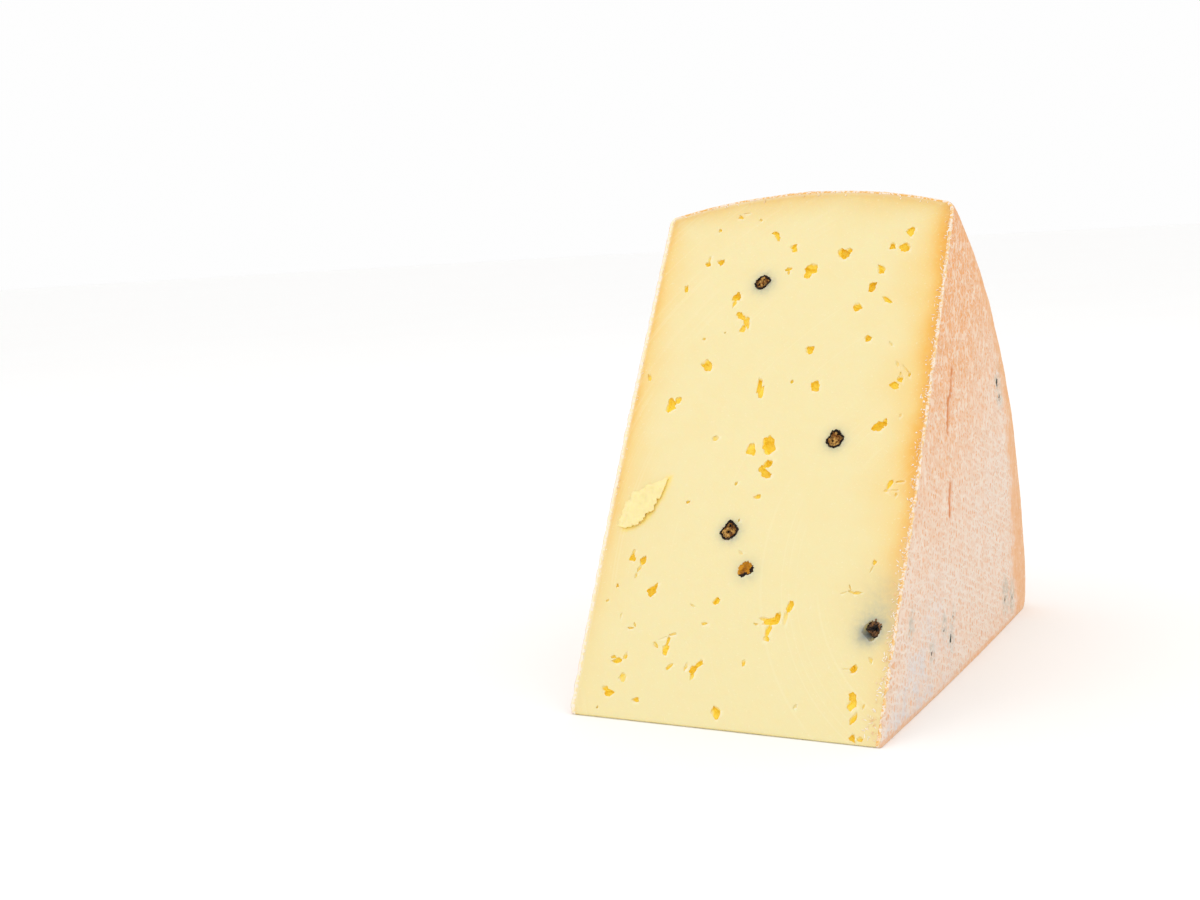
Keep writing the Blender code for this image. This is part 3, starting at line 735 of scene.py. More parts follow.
@dataclass(frozen=True)
class RindFinish:
    """Washed and brined natural rind: orange smear culture under a pale dry cloth imprint."""

    thread: str = "#F4E2D2"
    thread_warm: str = "#FBE5CE"
    cell: str = "#EEB88C"
    cell_warm: str = "#F0A051"
    smooth: str = "#EBAA6C"
    smooth_pale: str = "#F1C092"
    crack: str = "#DC8034"
    mould: str = "#B5B3A4"
    core: str = "#34372E"
    # pale flecks: white dots and torn crumbs, and the painted glint on the raised ring round each mould spot
    painted_glint_and_pale_fleck: str = "#F8EEE4"
    under: str = "#EFB050"
    cut_face: str = "#F3CC90"
    dry: str = "#E6DEDA"

    @staticmethod
    def fibres(make: Shader, where: Socket, size: tuple[float, float], limits: tuple[float, float],
               weight: float) -> Socket:
        """Wriggling strokes of a size in metres, with the limits of their edge and their weight."""
        links = {"Vector": make.vectors('DIVIDE', where, (*size, MM)), "Scale": 1.0, "Detail": 1.0,
                 "Roughness": 0.5}
        return make.contour(make.clouds(links, '2D').outputs["Fac"], *limits, weight)

    def build(self, net: RindNet, name: str) -> Material:
        """Make the material of one rind shell.

        Args:
            net: the cloth imprint, the same as in the relief.
            name: the material's name.

        Returns:
            A dry, matt rind with pale threads, orange hollows and mould spots.
        """
        make = Shader(name)
        make.constants(IOR=1.45, Subsurface_Weight=0.04, Subsurface_Radius=(0.002, 0.001, 0.0004),
                       Subsurface_Scale=0.4)
        skin = make.node("ShaderNodeAttribute", {"attribute_name": "skin"}).outputs["Vector"]
        cells, edge = make.cloth(skin, net.turn, (net.cell_across, net.cell_along, MM), net.wobble,
                                 net.randomness)
        thread = make.ranged(edge, 0.08, 0.22, 1.0, 0.0)
        # finer threads cross the wide ones, as the cloth was wrapped more than once
        crossed = make.node("ShaderNodeMapping", None,
                            {"Vector": cells, "Rotation": (0, 0, -0.45), "Scale": (1.5, 0.6, 1.0)}).outputs[0]
        fine_thread = make.ranged(make.seams(crossed, 0.9), 0.05, 0.16, 1.0, 0.0)
        warm = make.attribute("warm")
        # where the cloth lay doubled its fibres left wriggling strokes, 2 to 3 mm long
        swirl = make.clouds({"Vector": skin, "Scale": 1 / (5 * MM), "Detail": 2.0}, '2D').outputs["Color"]
        bent = make.vectors('MULTIPLY_ADD', swirl, (2.5 * MM, 1.5 * MM, 0.0), skin)
        fibre = make.maths('MAXIMUM', self.fibres(make, bent, (2.4 * MM, 4.6 * MM), (0.025, 0.07), 1.0),
                           self.fibres(make, bent, (1.5 * MM, 1.9 * MM), (0.02, 0.08), 0.7))
        woven = make.maths('MAXIMUM', thread, make.times(fine_thread, 0.8))
        woven = make.times(woven, make.maths('MULTIPLY_ADD', warm, -0.8, 1.0))
        chalk = make.maths('MAXIMUM', fibre, woven)
        patch = make.ranged(make.grain(6 * MM, 5.0, 0.65), 0.3, 0.6, 0.68, 1.0)
        thinned = make.maths('MULTIPLY_ADD', warm, -0.2, 1.0)
        bare = make.attribute("bare")
        covered = make.times(make.times(chalk, patch), thinned)
        covered = make.times(covered, make.maths('SUBTRACT', 1.0, bare))
        pale = make.mixed(warm, self.thread, self.thread_warm)
        # the driest patches turn grey-white, with the net nearly buried
        cloud = make.ranged(make.grain(5 * MM, 4.0, 0.6), 0.3, 0.65)
        dusty = make.times(make.attribute("dust"), cloud)
        pale = make.mixed(dusty, pale, self.dry)
        speckle = make.ranged(make.grain(0.5 * MM, 3.0, 0.7), 0.4, 0.68)
        flesh = make.mixed(warm, self.cell, self.cell_warm)
        ground = make.mixed(make.times(speckle, 0.22), flesh, pale)
        ground = make.mixed(make.times(dusty, 0.6), ground, pale)
        mottled = make.mixed(make.ranged(make.grain(2.6 * MM, 5.0, 0.65), 0.35, 0.7),
                             self.smooth, self.smooth_pale)
        ground = make.mixed(bare, ground, mottled)
        colour = make.mixed(covered, ground, pale)
        dots = make.node("ShaderNodeTexVoronoi", {"voronoi_dimensions": '2D'},
                         {"Vector": skin, "Scale": 1 / (4.5 * MM), "Randomness": 1.0}).outputs["Distance"]
        sparse = make.times(bare, make.ranged(make.grain(3 * MM, 2.0), 0.42, 0.62))
        white_dot = make.times(make.ranged(dots, 0.05, 0.11, 1.0, 0.0), sparse)
        colour = make.mixed(make.times(white_dot, 0.7), colour, self.painted_glint_and_pale_fleck)
        colour = make.mixed(make.attribute("crease"), colour, self.crack)
        ragged = make.grain(0.9 * MM, 3.0, 0.6)
        halo = make.times(make.attribute("halo"),
                          make.ranged(make.grain(2.2 * MM, 5.0, 0.7), 0.32, 0.68, 0.1, 1.25))
        colour = make.mixed(make.times(halo, 0.62), colour, self.mould)
        # the pale ring round each mould spot, broken up, is a painted glint on its raised rim
        painted_glint_ring = make.times(make.attribute("painted_glint_and_pale_fleck"), make.ranged(ragged, 0.4, 0.6))
        colour = make.mixed(painted_glint_ring, colour, self.painted_glint_and_pale_fleck)
        dark = make.maths('ADD', make.attribute("core"), make.maths('MULTIPLY_ADD', ragged, 1.1, -0.6))
        colour = make.mixed(make.ranged(dark, 0.35, 0.65), colour, self.core)
        inward = make.attribute("cut_depth")
        face = make.mixed(make.ranged(inward, 0.25, 1.0), self.cut_face, self.under)
        torn = make.ranged(make.grain(0.8 * MM, 3.0, 0.6), 0.46, 0.56)
        face = make.mixed(make.times(torn, 0.75), face, self.painted_glint_and_pale_fleck)
        colour = make.mixed(make.ranged(inward, 0.02, 0.2), colour, face)
        relief = make.maths('ADD', make.times(covered, 0.7),
                            make.times(speckle, 0.3))
        relief = make.times(relief, make.ranged(inward, 0.0, 0.2, 1.0, 0.0))
        bump = make.bumped(relief, 0.24 * MM, 0.9)
        rough = make.maths('MULTIPLY_ADD', chalk, 0.16, 0.6)
        return make.finish(colour, rough, bump)


@dataclass(frozen=True)
class Mottle:
    """Patches of another colour: the grain they follow, its limits, their colour and their strength."""

    colour: str
    grain: tuple[float, ...]
    limits: tuple[float, float]
    strength: float = 1.0


@dataclass(frozen=True)
class SmallFinish:
    """Finish of a small thing: a ground colour, mottled once or twice, over a fine bump."""

    name: str
    ground: str
    mottles: tuple[Mottle, ...]
    bump_grain: tuple[float, float]
    bump: tuple[float, float]
    rough: float
    glint: float = 0.5

    def build(self) -> Material:
        """Make the material."""
        make = Shader(self.name)
        make.constants(Specular_IOR_Level=self.glint)
        colour: Any = self.ground
        for mottle in self.mottles:
            share = make.ranged(make.grain(*mottle.grain), *mottle.limits)
            colour = make.mixed(make.times(share, mottle.strength), colour, mottle.colour)
        return make.finish(colour, self.rough, make.bumped(make.grain(*self.bump_grain), *self.bump))


# dried skin of a black peppercorn: hard, wrinkled and nearly black, with brown ridges
PEPPER_SKIN = SmallFinish(
    "dried_peppercorn_skin", "#180D06", (Mottle("#51331A", (0.7 * MM, 4.0, 0.6), (0.51, 0.63), 0.8),),
    (0.45 * MM, 3.0), (0.12 * MM, 0.9), 0.6, 0.25)
# the same skin of a peppercorn that was pressed flat: shinier, with broad brown folds
CRUMPLED_SKIN = SmallFinish(
    "crumpled_peppercorn_skin", "#0E0804", (Mottle("#9A6A3C", (1.7 * MM, 4.0, 0.6), (0.49, 0.61), 0.8),),
    (0.45 * MM, 3.0), (0.12 * MM, 0.9), 0.32, 0.25)
# cut kernel of a peppercorn: starchy and mealy, tan with brown specks and darker hollows
KERNEL = SmallFinish(
    "cut_peppercorn_kernel", "#7C4812",
    (Mottle("#D0A055", (1.2 * MM, 3.0), (0.4, 0.6)),
     Mottle("#33190A", (0.5 * MM, 3.0, 0.6), (0.5, 0.62), 0.8)),
    (0.3 * MM, 3.0), (0.1 * MM, 0.9), 0.7, 0.2)
# inside of an emptied peppercorn: a thin amber shell that lets the yellow paste glow
HUSK = SmallFinish(
    "emptied_peppercorn_husk", "#E09A14", (Mottle("#A8690C", (1.1 * MM, 4.0), (0.35, 0.68)),),
    (0.4 * MM, 3.0), (0.1 * MM, 0.8), 0.5, 0.3)
# dry crumbs of the rind's cut edge: chalky white, with some that stayed orange
CRUMB = SmallFinish(
    "dry_rind_crumb", "#FBF3E6", (Mottle("#F3CF9C", (1.6 * MM, 2.0), (0.45, 0.62)),),
    (0.2 * MM, 2.0), (0.04 * MM, 0.8), 0.75)


@dataclass(frozen=True)
class FloorFinish:
    """Matt painted studio board, very pale, with the faint unevenness of a roller."""

    paint: str = "#FEFEFD"
    rolled: str = "#FDFCFB"

    def build(self) -> Material:
        """Make the floor's material."""
        make = Shader("matt_painted_board")
        return make.finish(make.mixed(make.grain(0.2, 2.0), self.paint, self.rolled), 0.85, None)


class NodeTool(Nodes):
    """A Geometry Nodes tree built in the script, with named inputs."""

    def __init__(self, name: str, inputs: dict[str, str]) -> None:
        """Start the tree.

        Args:
            name: the tree's name.
            inputs: the named inputs and their socket types.
        """
        self.tree = bpy.data.node_groups.new(name, 'GeometryNodeTree')
        self.tree.interface.new_socket("Geometry", in_out='INPUT', socket_type='NodeSocketGeometry')
        self.tree.interface.new_socket("Geometry", in_out='OUTPUT', socket_type='NodeSocketGeometry')
        for label, kind in inputs.items():
            self.tree.interface.new_socket(label, in_out='INPUT', socket_type=kind)
        self.given = self.tree.nodes.new("NodeGroupInput").outputs
        self.out = self.tree.nodes.new("NodeGroupOutput")

    def attribute(self, name: str, kind: str) -> Socket:
        """A named attribute of the incoming mesh."""
        return self.node("GeometryNodeInputNamedAttribute", {"data_type": kind}, {"Name": name}).outputs[0]

    def close(self, geometry: Socket) -> None:
        """End the tree with real geometry that has its material."""
        real = self.node("GeometryNodeRealizeInstances", None, {"Geometry": geometry}).outputs[0]
        dressed = self.node("GeometryNodeSetMaterial", None,
                            {"Geometry": real, "Material": self.given["Finish"]}).outputs[0]
        self.tree.links.new(dressed, self.out.inputs[0])

    def apply(self, thing: Thing, **values: Any) -> None:
        """Run the tree on an object and keep the plain result.

        Args:
            thing: the object.
            values: one value for each named input, with underscores for spaces.
        """
        modifier = thing.modifiers.new(self.tree.name, 'NODES')
        modifier.node_group = self.tree
        for item in self.tree.interface.items_tree:
            key = item.name.replace(" ", "_")
            if item.in_out == 'INPUT' and key in values:
                modifier[item.identifier] = values[key]
        made_plain(thing)


def relief_tool() -> NodeTool:
    """Build the tree that raises the cloth's threads and the soft lumps of the rind.

    Returns:
        The tool, whose pattern is the same as the one in the rind's material.
    """
    numbers = ("Cell across", "Cell along", "Net height", "Turn", "Wobble", "Randomness", "Lump height",
               "Lump size", "Seed")
    inputs = dict.fromkeys(numbers, 'NodeSocketFloat') | {"Finish": 'NodeSocketMaterial'}
    tool = NodeTool("rind_relief", inputs)
    skin = tool.attribute("skin", 'FLOAT_VECTOR')
    mesh_size = tool.node("ShaderNodeCombineXYZ", None, {
        "X": tool.given["Cell across"], "Y": tool.given["Cell along"], "Z": MM}).outputs[0]
    edge = tool.cloth(skin, tool.given["Turn"], mesh_size, tool.given["Wobble"], tool.given["Randomness"])[1]
    thread = tool.ranged(edge, 0.08, 0.32, 1.0, 0.0)
    lump_scale = tool.maths('DIVIDE', 1.0, tool.given["Lump size"])
    lumps = tool.clouds({"Vector": skin, "W": tool.given["Seed"], "Scale": lump_scale, "Detail": 3.0},
                        '4D').outputs[0]
    swell = tool.times(tool.maths('SUBTRACT', lumps, 0.5), tool.given["Lump height"])
    woven = tool.times(tool.times(thread, tool.given["Net height"]),
                       tool.maths('SUBTRACT', 1.0, tool.attribute("bare", 'FLOAT')))
    height = tool.times(tool.maths('ADD', woven, swell), tool.attribute("relief", 'FLOAT'))
    normal = tool.node("GeometryNodeInputNormal").outputs[0]
    moved = tool.node("GeometryNodeSetPosition", None,
                      {"Geometry": tool.given["Geometry"], "Offset": tool.scaled(normal, height)}).outputs[0]
    tool.close(moved)
    return tool


def crumb_tool() -> NodeTool:
    """Build the tree that strews crumbs and short shreds over a strip.

    Returns:
        The tool; the strip's "plenty" attribute thins the crumbs out.
    """
    tool = NodeTool("edge_crumbs", {
        "Size": 'NodeSocketFloat', "Density": 'NodeSocketFloat', "Shred share": 'NodeSocketFloat',
        "Seed": 'NodeSocketInt', "Finish": 'NodeSocketMaterial'})
    plenty = tool.attribute("plenty", 'FLOAT')
    shreds = tool.given["Shred share"]
    ball = tool.node("GeometryNodeMeshIcoSphere", None,
                     {"Radius": tool.times(tool.given["Size"], 0.5), "Subdivisions": 2}).outputs[0]
    place = tool.node("GeometryNodeInputPosition").outputs[0]
    dent = tool.clouds({"Vector": place, "Scale": 1 / (0.35 * MM), "Detail": 1.0}).outputs[0]
    push = tool.scaled(place, tool.times(tool.maths('SUBTRACT', dent, 0.5), 1.6))
    crumb = tool.node("GeometryNodeSetPosition", None, {"Geometry": ball, "Offset": push}).outputs[0]
    sets = []
    for number, (low, high) in enumerate((((0.35, 0.35, 0.25), (1.15, 1.0, 0.7)),
                                          ((1.2, 0.3, 0.25), (3.4, 0.55, 0.5)))):
        share = shreds if number else tool.maths('SUBTRACT', 1.0, shreds)
        density = tool.times(tool.times(plenty, tool.given["Density"]), share)
        seed = tool.node("FunctionNodeRandomValue", {"data_type": 'INT'},
                         {"ID": number, "Seed": tool.given["Seed"]})
        seed.inputs[5].default_value = 9999
        spots = tool.node("GeometryNodeDistributePointsOnFaces", {"distribute_method": 'RANDOM'},
                          {"Mesh": tool.given["Geometry"], "Density": density, "Seed": seed.outputs[2]})
        turn = tool.node("FunctionNodeRandomValue", {"data_type": 'FLOAT_VECTOR'},
                         {0: (-0.5, -0.5, 0.0), 1: (0.5, 0.5, math.tau), "Seed": number + 11}).outputs[0]
        lie = tool.node("FunctionNodeRotateEuler", {"rotation_type": 'EULER', "space": 'LOCAL'},
                        {"Rotation": spots.outputs["Rotation"], "Rotate By": turn}).outputs[0]
        size = tool.node("FunctionNodeRandomValue", {"data_type": 'FLOAT_VECTOR'},
                         {0: low, 1: high, "Seed": number + 23}).outputs[0]
        sets.append(tool.node("GeometryNodeInstanceOnPoints", None,
                              {"Points": spots.outputs["Points"], "Instance": crumb,
                               "Rotation": lie, "Scale": size}).outputs[0])
    joined = tool.node("GeometryNodeJoinGeometry")
    for made in sets:
        tool.tree.links.new(made, joined.inputs[0])
    tool.close(joined.outputs[0])
    return tool


@dataclass
class Paste:
    """The paste: one closed body under the rind, with every opening and pit cut into it."""

    wheel: Wheel
    inset: float = 1.0 * MM
    grid: float = 1.05 * MM
    rest_grid: float = 2.0 * MM
    rest_lift: float = 0.04 * MM
    eye_seed: int = 5
    rest_eyes: int = 62
    # the blue-grey patch of painted shade and smear in the crumpled peppercorn's pit, in millimetres
    bruise_at: tuple[float, float] = (33.3, 26.3)
    bruise_reach: float = 1.9
    bruise_strength: float = 0.95

    def loop(self, share: float) -> tuple[Array, list[int]]:
        """One cross-section of the paste.

        Args:
            share: place across the wheel, from -1 at the left to 1 at the right.

        Returns:
            The loop's points, and the numbers of points on cut, rim, resting cut and tip.
        """
        wheel = self.wheel
        hand = 1 if share >= 0 else -1
        half = wheel.half - self.inset
        reach = float(wheel.rim_reach(np.array(share * half), self.inset))
        full = wheel.radius + wheel.bulge
        counts = [round(full / self.grid), 44, round(full / self.rest_grid), 5]
        cut = np.linspace(wheel.tip_run, reach, counts[0])
        arc = np.linspace(wheel.angle, 0, counts[1] + 2)[1:-1]
        back = np.linspace(reach, wheel.tip_run, counts[2])
        distance = np.concatenate([cut, np.full(counts[1], reach), back])
        turn = np.concatenate([np.full(counts[0], wheel.angle), arc, np.zeros(counts[2])])
        across = share * (wheel.side_reach(hand, distance) - self.inset)
        points = wheel.settle(across, distance, turn)
        tip_across = share * (float(wheel.side_reach(hand, np.array(wheel.tip_run))) - self.inset)
        tip = wheel.tip_row(tip_across, counts[3] + 2)[1:-1]
        points = np.concatenate([points, tip])
        points[:, 2] = np.maximum(points[:, 2], self.rest_lift)
        return points, counts

    def body(self) -> Thing:
        """Build the closed body, before anything is cut into it."""
        number = round(2 * self.wheel.half / self.grid) | 1
        even = np.linspace(-1, 1, number)
        shares = np.sin(even * math.pi / 2) * 0.35 + even * 0.65
        rows, counts = [], []
        for share in shares:
            points, counts = self.loop(float(share))
            rows.append(points)
        size = len(rows[0])
        faces: list[Sequence[int]] = []
        for column in range(number - 1):
            here, there = column * size, (column + 1) * size
            for step in range(size):
                after = (step + 1) % size
                faces.append((here + step, here + after, there + after, there + step))
        for first in (0, (number - 1) * size):
            cut = list(range(first, first + counts[0]))
            rest_start = first + counts[0] + counts[1]
            rest = list(range(rest_start, rest_start + counts[2]))[::-1]
            rim = list(range(first + counts[0] - 1, rest_start + 1))
            tip = [first + counts[0] + counts[1] + counts[2] + step for step in range(counts[3])]
            cap = zip_rows(cut, rest)
            cap += [(rim[0], rim[step], rim[step + 1]) for step in range(1, len(rim) - 1)]
            cap += [(cut[0], low, high) for low, high in zip([rest[0]] + tip, tip)]
            faces += cap
        return add_object("paste", build_mesh("paste", np.concatenate(rows), faces))

    def lump(self, name: str, matrix: Matrix, size: tuple[float, float, float], seed: int,
             rough: float, fine: int, facets: int = 9) -> Thing:
        """An uneven, angular pebble that cuts one opening.

        Args:
            name: its name.
            matrix: where it sits.
            size: its width, height and depth.
            seed: what makes its shape differ from the next.
            rough: how uneven it is.
            fine: how finely it is divided.
            facets: how many flat faces the curd grains round it pressed into it.

        Returns:
            The pebble, linked to nothing but a hidden collection.
        """
        build = bmesh.new()
        bmesh.ops.create_icosphere(build, subdivisions=fine, radius=1.0)
        away = Vector((seed * 3.1, seed * 1.7, seed * 0.9))
        draw = random.Random(seed)
        planes = []
        for _ in range(facets):
            facing = Vector((draw.gauss(0, 1), draw.gauss(0, 1), draw.gauss(0, 0.7))).normalized()
            planes.append((facing, draw.uniform(0.62, 0.95)))
        for vert in build.verts:
            reach = 1.16
            for facing, distance in planes:
                lean = vert.co.dot(facing)
                if lean > 0.1:
                    reach = min(reach, distance / lean)
            uneven = rough * noise.noise(vert.co * 1.9 + away) + 0.1 * noise.noise(vert.co * 4.5 - away)
            swell = reach * (1 + uneven)
            vert.co = Vector((vert.co.x * size[0], vert.co.y * size[1], vert.co.z * size[2])) * swell / 2
        mesh = bpy.data.meshes.new(name)
        build.to_mesh(mesh)
        build.free()
        mesh.transform(matrix)
        return bpy.data.objects.new(name, mesh)

    def openings(self) -> list[Thing]:
        """Every pebble that cuts an opening into the leaning cut or the resting cut."""
        found = []
        for number, eye in enumerate(LEANING_EYES):
            narrow = min(eye.wide, eye.tall) * MM
            wide, tall = eye.wide * 1.27 * MM, eye.tall * 1.27 * MM
            deep = narrow * (0.4 + 0.65 * eye.deep)
            matrix = self.wheel.cut_matrix(eye.across * MM, eye.up * MM, 0.08 * deep)
            matrix = matrix @ Matrix.Rotation(math.radians(eye.turn), 4, 'Z')
            fine = 4 if narrow > 1.2 * MM else 3 if narrow > 0.7 * MM else 2
            found.append(self.lump(f"eye_{number}", matrix, (wide, tall, deep), number, 0.26, fine))
        draw = random.Random(self.eye_seed)
        for number in range(self.rest_eyes):
            wide = draw.choice((0.9, 1.6, 2.2, 3.0)) * draw.uniform(0.8, 1.2) * MM
            matrix = self.wheel.rest_matrix(draw.uniform(-36, 36) * MM, draw.uniform(5, 139) * MM, 0.1 * wide)
            matrix = matrix @ Matrix.Rotation(draw.uniform(0, math.pi), 4, 'Z')
            size = (wide, wide * draw.uniform(0.8, 1.9), wide * 0.95)
            found.append(self.lump(f"rest_eye_{number}", matrix, size, number + 300, 0.3, 3))
        return found

    def cut(self, body: Thing, tools: Sequence[Thing]) -> None:
        """Cut all pebbles out of the body and remove them."""
        hidden = bpy.data.collections.new("openings")
        bpy.context.scene.collection.children.link(hidden)
        for tool in tools:
            hidden.objects.link(tool)
        boolean = body.modifiers.new("openings", 'BOOLEAN')
        boolean.operation = 'DIFFERENCE'
        boolean.solver = 'EXACT'
        boolean.operand_type = 'COLLECTION'
        boolean.collection = hidden
        made_plain(body)
        for tool in tools:
            bpy.data.meshes.remove(tool.data)
        bpy.data.collections.remove(hidden)

    def tint(self, mesh: Mesh, stains: Sequence[tuple[float, ...]]) -> None:
        """Store what the paste's material reads: nearness to rind and tip, depth, painted light and shade,
        and stains.

        Args:
            mesh: the finished paste.
            stains: across, up, core radius and fade in millimetres, and strength, of each grey halo.
        """
        wheel = self.wheel
        spots = positions(mesh)
        across, out, high = spots[:, 0], spots[:, 1] - wheel.tip_y, spots[:, 2]
        distance = np.hypot(out, high)
        right = (wheel.side_reach(1, distance) - across) / MM
        left = (wheel.side_reach(-1, distance) + across) / MM
        top = (wheel.rim_reach(np.clip(across, -wheel.half, wheel.half)) - distance) / MM
        uneven = 1 + 0.25 * ripple(across, distance, 21 * MM, 1.9)
        near = np.maximum.reduce([share * np.exp(-away / (fade * uneven)) for away, share, fade in
                                  ((right, 1.32, 4.9), (left, 0.98, 3.9), (top, 0.98, 3.6))])
        store(mesh, "near_rind", np.clip(near, 0, 1))
        store(mesh, "near_tip", 0.8 * smooth(distance / MM, 75, 5))
        along_cut = out * math.cos(wheel.angle) + high * math.sin(wheel.angle)
        plane = -out * math.sin(wheel.angle) + high * math.cos(wheel.angle)
        below = wheel.waves(across, along_cut) - plane
        # how deep a point lies in an opening; by it the material paints the openings a deeper yellow with a
        # faint glow, painted light
        depth = smooth(np.minimum(below, high) / MM, 0.08, 0.6)
        front = plane > -3 * MM
        facing = np.empty(len(spots) * 3, np.float32)
        mesh.vertex_normals.foreach_get("vector", facing)
        leaning = facing.reshape(-1, 3)
        # painted light on the openings: rims that face the light get a pale painted highlight, and walls that
        # face away from it the darker amber of a painted shade
        lit = np.clip(leaning @ np.array((-0.75, 0.34, 0.57)) * 2.2 - 0.2, 0, 1)
        painted_glint_and_pale_fleck = np.exp(-((below / MM - 0.14) / 0.13) ** 2) * lit
        store(mesh, "painted_glint_and_pale_fleck", np.where(front & (high > 1 * MM), painted_glint_and_pale_fleck, 0))
        store(mesh, "shade", np.clip(leaning @ np.array((-0.72, -0.36, -0.6)) * 1.3, 0, 1))
        # a painted shadow: the paste under the shaving's lifted right edge takes the openings' deeper yellow
        # and faint glow
        for first, second in zip(Shaving.right, Shaving.right[1:]):
            away = from_line(across / MM, along_cut / MM, first, second)
            depth = np.maximum(depth, np.where(front, 0.62 * smooth(away, 1.5, 0.1), 0))
        store(mesh, "depth", depth)
        grey = 0.16 * np.exp(-np.abs(top - 1.5) / 3.2)
        for spot_across, spot_up, core, fade, strength in stains:
            from_spot = np.hypot(across / MM - spot_across, along_cut / MM - spot_up)
            halo = strength * np.exp(-(np.maximum(from_spot - core, 0) / fade) ** 1.3)
            grey = 1 - (1 - grey) * (1 - np.where(front, halo, 0))
        store(mesh, "stain", grey)
        # a blue-grey patch in the crumpled peppercorn's pit, painted shade in that hollow with a grey smear;
        # it also holds back the openings' painted glow there
        from_pit_shade_and_smear = np.hypot(across / MM - self.bruise_at[0], along_cut / MM - self.bruise_at[1])
        bruise = self.bruise_strength * np.exp(-(from_pit_shade_and_smear / self.bruise_reach) ** 2)
        store(mesh, "bruise", np.where(front, bruise, 0))

    def build(self, seats: Sequence[Thing], stains: Sequence[tuple[float, ...]]) -> Thing:
        """Build and dress the paste.

        Args:
            seats: the bodies that cut the peppercorns' seats.
            stains: the grey halos.

        Returns:
            The finished piece.
        """
        body = self.body()
        self.cut(body, self.openings() + list(seats))
        self.tint(body.data, stains)
        shade(body.data, 38)
        body.data.materials.clear()
        body.data.materials.append(PasteFinish().build())
        return body


@dataclass
class Rind:
    """One closed shell of rind: a dense outer skin, a coarse inner one and crumbly cut edges."""

    wheel: Wheel
    hand: Hand
    pitch: float = 0.43 * MM
    inner_pitch: float = 1.6 * MM
    thickness: float = 1.1 * MM
    proud: float = 0.12 * MM
    net: RindNet = field(default_factory=RindNet)
    spots: tuple[Spot, ...] = ()
    creases: tuple[tuple[tuple[float, float], ...], ...] = ()
    chips: tuple[tuple[float, float, float], ...] = ()

    @property
    def side(self) -> int:
        """1 on the right side, -1 on the left, 0 on the rim."""
        return {Hand.RIGHT: 1, Hand.LEFT: -1, Hand.RIM: 0}[self.hand]

    def profile(self, inset: float, pitch: float) -> tuple[Array, Array, Array]:
        """The shell's section, from tip to shoulder or across the rim.

        Args:
            inset: how far under the skin.
            pitch: distance between points.

        Returns:
            Places along the axis, distances from it, and the length run so far.
        """
        wheel = self.wheel
        bulge_radius, bulge_centre = wheel.rim_circle()
        if not self.side:
            ends = [wheel.shoulder_centre(shoulder)[2] for shoulder in wheel.shoulders]
            arc = bulge_radius * (math.pi - ends[0] - ends[1])
            turns = np.linspace(ends[0], math.pi - ends[1], max(2, round(arc / pitch)) + 1)
            radius = bulge_radius - inset
            run = (turns - math.pi / 2) * bulge_radius
            return radius * np.cos(turns), bulge_centre + radius * np.sin(turns), run
        shoulder = wheel.shoulders[0 if self.side > 0 else 1]
        centre, start, end = wheel.shoulder_centre(shoulder)
        flat = np.linspace(wheel.tip_run + 0.2 * MM, centre, round((centre - wheel.tip_run) / pitch))
        across = self.side * wheel.side_reach(self.side, flat, inset)
        turns = np.linspace(0, end, max(3, round(shoulder * end / pitch)) + 1)[1:]
        bend_across = self.side * (start + (shoulder - inset) * np.cos(turns))
        bend = centre + (shoulder - inset) * np.sin(turns)
        run = np.concatenate([flat, centre + shoulder * turns])
        return np.concatenate([across, bend_across]), np.concatenate([flat, bend]), run

    def worn(self, across: Array, distance: Array, turn: Array, run: Array,
             share: float) -> tuple[Array, Array]:
        """Chip the rind back along the leaning cut, as the knife dragged crumbs out of it.

        Args:
            across: places along the axis.
            distance: distances from the axis.
            turn: angles up from the resting cut.
            run: lengths run along the shell's section.
            share: how far in from the outer skin, from 0 to 1.

        Returns:
            The changed places and distances.
        """
        from_cut = distance * (self.wheel.angle - turn)
        bite = 0.14 + 0.13 * ripple(run, run * 0, 3.7 * MM, 1.3 + self.side)
        bite = bite + 0.08 * ripple(run, run * 0, 1.3 * MM, 2.9)
        for place, deep, wide in self.chips:
            bite = bite + deep * np.exp(-((run / MM - place) / wide) ** 2)
        bite = np.maximum(bite, 0) * MM * smooth(from_cut, 1.6 * MM, 0) * (1 - share)
        if self.side:
            return across - self.side * bite, distance
        return across, distance - bite

    def layer(self, inset: float, pitch: float) -> tuple[list[Array], list[Array]]:
        """Rows of one skin of the shell.

        Args:
            inset: how far under the outer skin.
            pitch: distance between points.

        Returns:
            Each row's positions, and its pattern coordinates.
        """
        wheel = self.wheel
        rows, skins = [], []
        if self.side:
            count = max(4, round(3 * wheel.tip_wear / pitch))
            reach = self.side * float(wheel.side_reach(self.side, np.array(wheel.tip_run), inset))
            rows.append(wheel.tip_row(reach, count))
            skins.append(np.zeros((count, 3)))
        for across, distance, run in zip(*self.profile(inset, pitch)):
            count = max(4, round(distance * wheel.angle / pitch)) + 1
            turn = np.linspace(0, wheel.angle, count)
            fixed = [np.full(count, value) for value in (across, distance, run)]
            if not inset:
                fixed[:2] = self.worn(fixed[0], fixed[1], turn, fixed[2], 0.0)
            rows.append(wheel.settle(fixed[0], fixed[1], turn))
            skins.append(self.pattern(np.full(count, distance), turn, np.full(count, run)))
        return rows, skins

    def marks(self, skin: Array) -> dict[str, Array]:
        """Spots, halos, creases and bare bands at pattern coordinates.

        Args:
            skin: pattern coordinates in metres.

        Returns:
            One array for each mark, and the depth of the dents in metres under "dent".
        """
        first, second = skin[:, 0] / MM, skin[:, 1] / MM
        names = ("core", "painted_glint_and_pale_fleck", "halo", "crease", "bare", "warm", "dust", "dent")
        found = {name: np.zeros(len(skin)) for name in names}
        wobble = ripple(first * MM, second * MM, 3.1 * MM, 0.4)

        def raise_to(name: str, values: Array) -> None:
            """Keep the stronger of a mark's old and new values."""
            found[name] = np.maximum(found[name], values)

